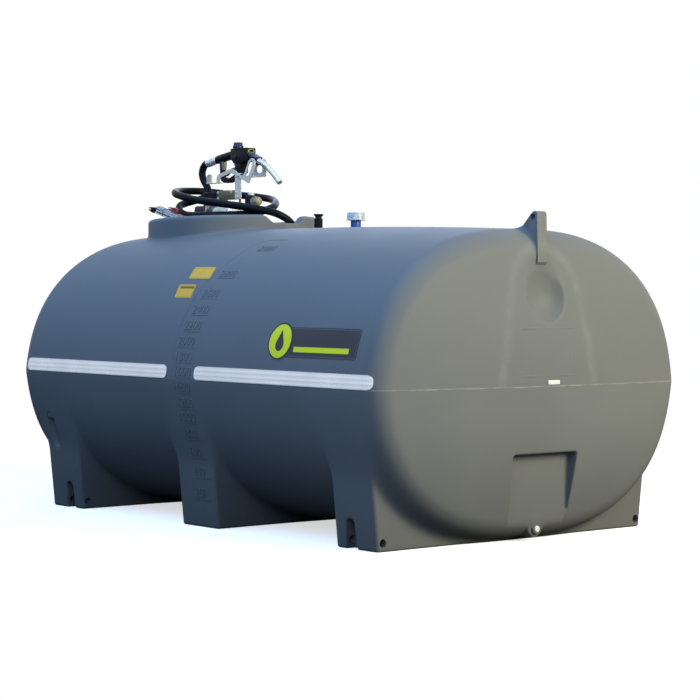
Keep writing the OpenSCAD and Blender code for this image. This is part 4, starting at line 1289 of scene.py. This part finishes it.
def make_filler():
    """Ribbed screw cap on its threaded ring, on the well's floor."""
    bm = bmesh.new()
    add_lathe(bm, [(0, 0), (93.5, 0), (94.5, 1), (94.5, 11), (92.5, 13.5), (83.5, 14), (82.5, 15.5),
                   (82.5, 36), (79.5, 39.2), (74, 40), (50, 40), (47, 37), (0, 37)], 72)
    add_ribs(bm, 36, 82, (-2.2, -1.4, 16.5), (2.2, 2.4, 35.5), 0.8)
    for angle in (0.4, 0.4 + math.pi / 2):
        made = add_block(bm, (-60, -6, 36.2), (60, 6, 39.8), 1.2, 1)
        bmesh.ops.transform(bm, matrix=Matrix.Rotation(angle, 4, "Z"), verts=made)
    seat(bm, (WELL_X, 0.180, FLOOR_Z))
    make(bm, "filler_screw_cap", "black_plastic", "filler_cap", crisp=40)


# ---- the pump on its stand ----

STAND_AT = (-0.752, -0.030, STAND_TOP)
PUMP_AT = (MOTOR_X0 - 0.086, PUMP_Y, FLOOR_Z)
FILTER_AT = (-0.566, 0.004, FLOOR_Z)
POST_AT = (-0.624, STAND_AT[1], STAND_TOP)
ARM_AT = (STAND_X, STAND_AT[1], STAND_TOP + 0.066)


def add_bolts(bm, at, places, way, *size):
    for place in places:
        add_bolt(bm, near(at, *place), way, *size)


def make_stand():
    """One bent sheet with two legs, a top and a short front plate, and its screws."""
    bm = bmesh.new()
    bend = [(4, -240), (4, -7.5), (7.5, -4)]
    left = [(6, 0), (1.8, -1.8), (0, -6)]
    legs = [(0, -240)] + bend + [(154 - x, z) for x, z in bend[::-1] + [(0, -240)] + left[::-1]] + left
    add_slab(bm, legs, 0.5, 10, 0, 0.6, 1, at=STAND_AT)
    add_slab(bm, [(0, -240)] + bend + [(52, -4), (52, 0)] + left, 9.8, 48, 0, 0.6, 1, at=STAND_AT)
    add_slab(bm, [(0.5, -6), (52, -6), (52, 0), (0.5, 0)], 47.8, 90, 0, 0.6, 1, at=STAND_AT)
    add_block(bm, (0, 0, -40), (154, 4, -0.5), 1.2, at=STAND_AT)
    add_block(bm, (0, 20, -239.7), (4, 70, -234), 0.8, 1, at=STAND_AT)
    make(bm, "stand_bent_sheet", "passivated_steel", "pump_stand", crisp=30)
    bm = bmesh.new()
    add_bolts(bm, STAND_AT, [(8, 0, -8), (100, 0, -8), (8, 0, -32)], FRONT, 7.5, 3.5, 5.8)
    add_bolts(bm, STAND_AT, [(17, 24, 0), (40, 24, 0), (17, 70, 0), (40, 70, 0)], UP, 9, 4, 7)
    make(bm, "stand_screws", "galvanised_steel", crisp=30)


def make_switch():
    """The lead's isolator: a black box with its rocker and lid screws."""
    bm = bmesh.new()
    at = near(STAND_AT, -94.3, 0, -72)
    for low, high, soft, segments in (((0, 0, 0), (94, 50, 70), 6, 3), ((1, 48.5, 1), (93, 62, 69), 6, 3),
                                      ((22, -3, 18), (72, 4, 52), 1.2, 2), ((30, -4, 24), (64, 4, 46), 1, 2)):
        add_block(bm, low, high, soft, segments, at)
    for x in (9, 85):
        for z in (9, 61):
            seat(bm, near(at, x, -0.5, z), FRONT, 0.0, add_rod(bm, 3.2, 1.6, 16, 2.8))
    make(bm, "switch_box_body", "black_plastic", "switch_box", crisp=35)


def make_pump():
    """Cast pump head on its foot, with flange, ribs, cover and screws."""
    bm = bmesh.new()
    for low, high, soft, segments in (((6, -46, 78), (74, 42, 174), 10, 3), ((72, -49, 75), (85.8, 45.5, 177.5), 5, 3),
                                      ((18, -30, 6), (68, 30, 82), 8, 3), ((1, -51, 0.3), (85, 43, 8), 2, 2)):
        add_block(bm, low, high, soft, segments, PUMP_AT)
    for z in (98, 126, 154):
        add_block(bm, (12, -49.5, z - 2), (70, -40, z + 2), 1.2, 1, PUMP_AT)
    cover = add_lathe(bm, [(0, 0), (36, 0), (36, 5), (33, 7), (14, 7.5), (12, 4), (0, 4)])
    seat(bm, near(PUMP_AT, 6, 0, (MOTOR_Z - FLOOR_Z) / MM), (-1.0, 0.0, 0.0), 0.0, cover)
    make(bm, "pump_cast_head", "cast_aluminium", "pump_head", crisp=35, finish="pump_paint")
    bm = bmesh.new()
    corners = [(73.5, y, z) for y in (-40, 36) for z in (84, 168)]
    add_bolts(bm, PUMP_AT, corners, (-1.0, 0.0, 0.0), 7, 4, 5.5)
    feet = [(x, y, 7.5) for y in (-42, 34) for x in (10, 76)]
    add_bolts(bm, PUMP_AT, feet, UP, 8, 5, 7)
    make(bm, "pump_screws", "cast_aluminium", crisp=30)


def make_motor():
    """Round motor with cooling flutes and its end cap."""
    bm = bmesh.new()
    add_lathe(bm, [(0, 0.2), (44, 0.2), (44.8, 1.4), (44.8, 10), (43.2, 11.5), (43.2, 124), (44.8, 125.5),
                   (44.8, 137), (42.5, 139.5), (36.8, 140), (36.2, 145), (33, 149), (16, 149.8), (15, 148),
                   (0, 148)], 72)
    add_ribs(bm, 24, 43, (-1.2, -1, 74), (1.2, 1.6, 120), 0.5, range(3, 12))
    seat(bm, (MOTOR_X0, PUMP_Y, MOTOR_Z), OUT)
    make(bm, "motor_housing", "cast_aluminium", "pump_motor", crisp=35, finish="motor_silver")


def make_pipes():
    """Outlet pipe with its hexagon hose tail, and the suction pipe with its gland and filter."""
    bm = bmesh.new()
    add_sweep(bm, [near(PUMP_AT, x, 0, 40) for x in [74 + 11 * i for i in range(10)] + [182]], [11.8 * MM] * 11, 28)
    first = set(bm.verts)
    soften(bm, 1.4, 2, edges_of(add_rod(bm, 16.8, 24, 6)))
    seat(bm, near(PUMP_AT, 162, 0, 40), OUT, 0.2, new_verts(bm, first, outward=False))
    make(bm, "outlet_pipe_and_nut", "dark_fitting", "outlet_pipe", crisp=30)
    lathe("suction_pipe_and_gland", [(0, 0.3), (24.5, 0.3), (25.6, 1.4), (25.6, 8.5), (24, 9.8), (18, 10),
                                     (16.8, 11.5), (16.8, 75), (18.5, 76.5), (18.5, 100), (16.8, 101.5),
                                     (16.8, 174.8), (0, 174.8)],
          FILTER_AT, UP, 40, "dark_fitting", "suction_pipe", crisp=35)
    bm = bmesh.new()
    add_lathe(bm, [(0, 0), (21.5, 0), (22.8, 1.5), (22.8, 36), (20.5, 40), (18.5, 41.8), (0, 41.8)], 44)
    add_ribs(bm, 14, 22.2, (-1, -0.8, 4), (1, 1, 34), 0.3)
    seat(bm, near(FILTER_AT, 0, 0, 175))
    make(bm, "filter_head_body", "black_plastic", "filter_head", crisp=35)
    lathe("filter_white_knob", [(0, 0), (13, 0), (13.8, 1), (13.4, 8), (11, 11), (0, 11.8)],
          near(FILTER_AT, 4, 0, 216.8), UP, 36, "white_plastic")
    lathe("filter_clear_bowl", [(16, 0), (19, 0), (19.6, 1.2), (19.6, 9), (18.4, 10.5), (18.3, 15), (19.2, 16.5),
                                (19.6, 24), (19, 30), (16.8, 36), (12, 40), (6, 41.2), (0, 41.4)],
          near(FILTER_AT, 22.2, 0, 191), OUT, 44, "beige_plastic", "filter_bowl", crisp=35)


# ---- the holster ----


def make_holster():
    """The post, and the folded arm with its tab, loop and back plate."""
    bm = bmesh.new()
    add_slab(bm, [(0, -38), (42, -38), (42, 60), (30, 64), (0, 64)], -3.8, -0.2, 3, 0.6, 1, at=POST_AT)
    make(bm, "holster_post_plate", "galvanised_steel", "holster_post", crisp=30)
    bm = bmesh.new()
    outline = [(-72, -34), (-72, -8), (-61, 3), (31, 26), (55, 15), (104, -9), (120, 2), (138, 34), (147, 52),
               (164, 63), (182, 60), (193, 46), (187, 18), (168, -13), (150, -42), (108, -25), (55, -2), (24, 6),
               (-45, -10), (-56, -34)]
    add_slab(bm, outline, -7.8, -4.2, 4.5, 0, 1, 3, ARM_AT)
    arm = to_object(bm, "holster_arm")
    opening = [(130, -9), (140, 20), (156, 45), (167, 54), (177, 47), (165, 19), (147, -8), (139, -18)]
    bm = bmesh.new()
    add_slab(bm, opening, -11.8, -0.2, 4, 0, 1, 3, ARM_AT)
    cut_out(arm, bm)
    tab = bmesh.new()
    add_slab(tab, [(1, 0), (31, 0), (31, 34), (24, 41), (8, 41), (1, 32)], 0, 3.6, 4, 0.6, 1, 3)
    x, y, z = near(ARM_AT, -148, -4.2, -33.5)
    bmesh.ops.transform(tab, matrix=Matrix(((0, 1, 0, x), (1, 0, 0, y), (0, 0, 1, z), (0, 0, 0, 1))),
                        verts=tab.verts[:])
    bmesh.ops.recalc_face_normals(tab, faces=tab.faces[:])

    def add_folds(bm):
        add_block(bm, (49, -5.2, -12), (135, 63.5, -8.3), 0.8, 1, ARM_AT)
        add_block(bm, (-146, -5.2, -34), (-60, 13.8, -30.2), 1.0, 2, ARM_AT)
        join(bm, tab)
    edit(arm, add_folds)
    bm = bmesh.new()
    plate = [(85, -12), (181, -12), (183, 40), (179, 61), (89, 61)]
    add_slab(bm, plate, 60.2, 63.8, 6, 0, 1, 3, ARM_AT)
    back = to_object(bm, "holster_back_plate")
    bm = bmesh.new()
    add_rod(bm, 18, 30, 40)
    seat(bm, near(ARM_AT, 137, 60, 22), (0.0, 1.0, 0.0))
    cut_out(back, bm)
    for piece in (arm, back):
        round_edges(piece, 0.5, 1)
        sharpen(piece, 30)
    done(arm, "galvanised_steel", "nozzle_holster")
    # painted light: the back plate gets the paler zinc copy, standing in for the sun on it
    done(back, "galvanised_steel", finish="zinc_painted_sunlit")
    bm = bmesh.new()
    add_bolts(bm, POST_AT, [(12, -3.8, -10), (18, -3.8, -28)], FRONT, 8.5, 3.5, 6.2)
    add_bolts(bm, POST_AT, [(26, -7.8, 60)], FRONT, 8.0, 3.5, 6.0)
    make(bm, "holster_bolts", "cast_aluminium", crisp=30)


# ---- the nozzle ----

BODY_AT = (STAND_X + 0.025, 0.0, STAND_TOP + 0.177)
PIVOT = near(BODY_AT, 20, 0, -84)


def make_nozzle_body():
    """The cast valve body: handle, block, foot, front socket, sloping cover and the ring above it."""
    bm = bmesh.new()
    block = [(-19, -2), (90, -2), (94, -10), (94, -30), (100, -44), (92, -56), (52, -60), (44, -66), (2, -64),
             (-12, -50), (-19, -46)]
    add_slab(bm, block, -23.5, 23.5, 4.5, 3.4, 3, 3, BODY_AT)
    add_slab(bm, [(-19, -7.2), (93, -7.2), (93, -1.2), (-19, -1.2)], -23.9, 23.9, 2, 1.2, 2, 2, BODY_AT)
    foot = [(46, -58), (48, -78), (47, -106)]
    for y0, y1 in ((-20.5, -9.2), (9.2, 20.5)):
        add_slab(bm, [(-2, -58)] + foot + [(24, -106), (10, -84)], y0, y1, 3, 2.2, 2, 2, BODY_AT)
    add_slab(bm, [(34, -58), (47, -58)] + foot[1:] + [(34, -106)], -10, 10, 2, 0, 1, 2, BODY_AT)
    socket = add_lathe(bm, [(0, 0), (16.5, 0), (17.5, 10), (17, 44), (15.5, 50), (0, 50.5)], 32)
    seat(bm, near(BODY_AT, 100, 0, -40), (0.885, 0.0, -0.466), 0.0, socket)
    for side in (-1, 1):
        boss = add_lathe(bm, [(0, 0), (12, 0), (12, 1.2), (10.8, 2.2), (0, 2.6)], 32)
        seat(bm, near(BODY_AT, 20, side * 21.4, -34), (0.0, side, 0.0), 0.0, boss)
    run = np.linalg.norm(GRIP_B - GRIP_A) / MM
    grip = add_lathe(bm, [(0, 0), (15, 0), (17.2, 3), (17.8, 10), (17.4, 50), (17.8, 85), (17.2, 111),
                          (16, 126), (0, run)])
    seat(bm, GRIP_A, GRIP_DIR, 0.0, grip)
    for s in range(9):
        ring = add_lathe(bm, [(16.8, -1.2), (18.1, -0.6), (18.1, 0.6), (16.8, 1.2)], 32)
        seat(bm, GRIP_A + GRIP_DIR * (0.022 + 0.0085 * s), GRIP_DIR, 0.0, ring)
    seat(bm, PIVOT, (0.0, 1.0, 0.0), 0.0, add_rod(bm, 3.6, 45.5, 20))
    make(bm, "nozzle_valve_body", "black_plastic", "nozzle_body", crisp=38)
    bm = bmesh.new()
    front = [(88, -22), (100, -23), (146, -43), (148, -50), (138, -52), (98, -36), (88, -34)]
    add_slab(bm, front, -20.5, 20.5, 3, 3.5, 3, 3, BODY_AT)
    make(bm, "nozzle_front_cover", "black_plastic", crisp=40, finish="cover_blue")
    bm = bmesh.new()
    add_lathe(bm, [(6.2, -4), (9.8, -4), (9.8, 1.6), (9.2, 2.2), (6.8, 2.2), (6.2, 1.6)], 36)
    bmesh.ops.scale(bm, vec=(1.85, 1.0, 1.0), verts=bm.verts[:])
    seat(bm, near(BODY_AT, 93.5, 0, -15), OUT)
    make(bm, "nozzle_yellow_ring", "yellow_label", finish="ring_yellow")


def make_nozzle_cap():
    """The swivel cap on top of the body, with a knurled edge."""
    bm = bmesh.new()
    add_lathe(bm, [(0, 0), (21, 0), (22, 1.2), (22, 10.5), (20.5, 13.2), (19.6, 14), (19.2, 22.5), (17.2, 25),
                   (8, 25.8), (0, 25.8)], 48)
    add_ribs(bm, 22, 21.9, (-1.1, -1, 1.8), (1.1, 1, 10), 0.4)
    seat(bm, near(BODY_AT, 4, 0, 0))
    make(bm, "nozzle_top_cap", "black_plastic", "nozzle_cap", crisp=38, finish="cover_blue")


SPOUT_STEPS, SPOUT_L, MOUTH_STEPS = 120, 182, 46


def spout_radius(t):
    """The spout's radius in millimetres: a plain start, a ribbed bend and a smooth tip."""
    s, r = t * SPOUT_L, 12.6 - 0.6 * t
    if 12 < s < 92:
        r += 1.9 * math.sin(2 * math.pi * (s - 12) / 12.5) - 1.0
    if s <= 10:
        r = 13.0
    return r - 0.4 if t > 0.985 else r


def make_spout():
    """The alloy spout, drawn out along its bend and back again inside its mouth."""
    turns = [i / SPOUT_STEPS for i in range(SPOUT_STEPS + 1)]
    path = [near(BODY_AT, 135 + 150 * t, 0, -57 - 40 * t - 56 * t * t) for t in turns]
    radii = [spout_radius(t) for t in turns]
    inner, bores = path[::-1][:MOUTH_STEPS], radii[::-1][:MOUTH_STEPS]
    bm = bmesh.new()
    add_sweep(bm, path, [r * MM for r in radii], 32, caps=False)
    add_sweep(bm, inner, [max(r - 1.9, 6) * MM for r in bores], 32, caps=False)

    def open_near(place, reach):
        return [e for e in bm.edges if e.is_boundary and (e.verts[0].co - place).length < reach * MM]
    bmesh.ops.bridge_loops(bm, edges=open_near(path[-1], 20))
    for place in (path[0], inner[-1]):
        bmesh.ops.contextual_create(bm, geom=open_near(place, 18))
    bmesh.ops.recalc_face_normals(bm, faces=bm.faces[:])
    make(bm, "spout_tube", "cast_aluminium", "nozzle_spout", crisp=50, finish="spout_alloy")


def make_guard():
    """The trigger guard: a bowed frame under the handle, with the trigger's latch."""
    bm = bmesh.new()
    outline = [(-112, -50), (-96, -50), (-94, -97), (-90, -115), (-48, -125), (-10, -111), (22, -107.5),
               (49, -107.5), (49, -112.5), (19, -118.5), (-12, -131), (-42, -143), (-78, -143), (-100, -134),
               (-108, -107)]
    add_slab(bm, outline, -10.5, 10.5, 3, 2.6, 3, 3, BODY_AT)
    make(bm, "nozzle_trigger_guard", "black_plastic", "nozzle_guard", crisp=40)
    bm = bmesh.new()
    latch = [(-95.5, -52), (-87.5, -51.5), (-88, -64), (-90, -86), (-93.8, -88), (-94.5, -70)]
    add_slab(bm, latch, -11.5, 11.5, 2, 1.6, 2, 2, BODY_AT)
    make(bm, "trigger_latch", "beige_plastic", crisp=40, finish="trigger_grey")


def make_lever():
    """The trigger on its pin, with a pale insert in each side."""
    bm = bmesh.new()
    outline = [(7.5, -4.5), (7.5, 4.5), (2, 7.8), (-8, 8.2), (-30, 5.2), (-60, 0.4), (-84, -9.5), (-98.5, -22.5),
               (-95.5, -31), (-78, -21), (-56, -9.8), (-28, -8.6), (-6, -8.6), (2, -7.8)]
    add_slab(bm, outline, -7.6, 7.6, 1.8, 2.0, 3, 2, PIVOT)
    make(bm, "trigger_lever", "dark_fitting", "nozzle_lever", crisp=40, body="lever")
    bm = bmesh.new()
    pad = [(-28, -7.8), (-34, -3), (-60, -1.2), (-84, -11), (-92, -20), (-90, -26.2), (-78, -19.2), (-56, -8.2)]
    for y0, y1 in ((-8, -7), (7, 8)):
        add_slab(bm, pad, y0, y1, 1.5, 0.4, 2, 1, PIVOT)
    make(bm, "trigger_inserts", "beige_plastic", crisp=40, body="lever", finish="trigger_grey")


def make_hose_end():
    """Crimped ferrule and the swivel between hose and handle."""
    crimps = [(r, 4.5 + 6.8 * i + h) for i in range(4) for r, h in ((17.8, 0), (16.8, 1), (16.8, 2.6), (17.8, 3.6))]
    outline = [(14, 0), (17.2, 0), (17.8, 1)] + crimps
    outline += [(17.6, 32.5), (16, 33.8), (0, 33.8), (0, 20), (14, 20)]
    ferrule = lathe("ferrule_crimped", outline, HOSE_END, GRIP_DIR, 44, "cast_aluminium", "hose_ferrule", crisp=40)
    lathe("swivel_nut", [(0, 0.2), (12.5, 0.2), (13.2, 1), (13.2, 7), (14.2, 8.5), (15.8, 9.5), (15.8, 18.5),
                         (14.6, 19.6), (14.6, 22), (15.8, 23.2), (15.8, 31), (14.6, 32.8), (0, 32.8)],
          GRIP_A - SWIVEL_L * GRIP_DIR, GRIP_DIR, 36, "cast_aluminium", "hose_swivel", crisp=40)
    return ferrule


def make_relief():
    """The tapered sleeve where the lead leaves the pump."""
    lathe("lead_relief", [(3.7, 0), (7, 0), (6.8, 3), (6, 5), (6.2, 8), (5.4, 10), (5.6, 13), (4.8, 15),
                          (4.9, 18), (4.3, 22), (3.7, 24)], LEAD_END, FRONT, 28, "black_plastic", crisp=45)


# ---- everything, cords first ----

make_hose(make_hose_end())
battery_lead, lead_path = make_lead()
for make_part in (make_tank, make_fins, make_marks, make_films, make_reflectors, make_vent, make_gauge,
                  make_drain, make_filler, make_stand, make_switch, make_pump, make_motor, make_pipes,
                  make_holster, make_nozzle_body, make_nozzle_cap, make_spout, make_guard, make_lever):
    make_part()
make_clamps(battery_lead, lead_path)
make_relief()
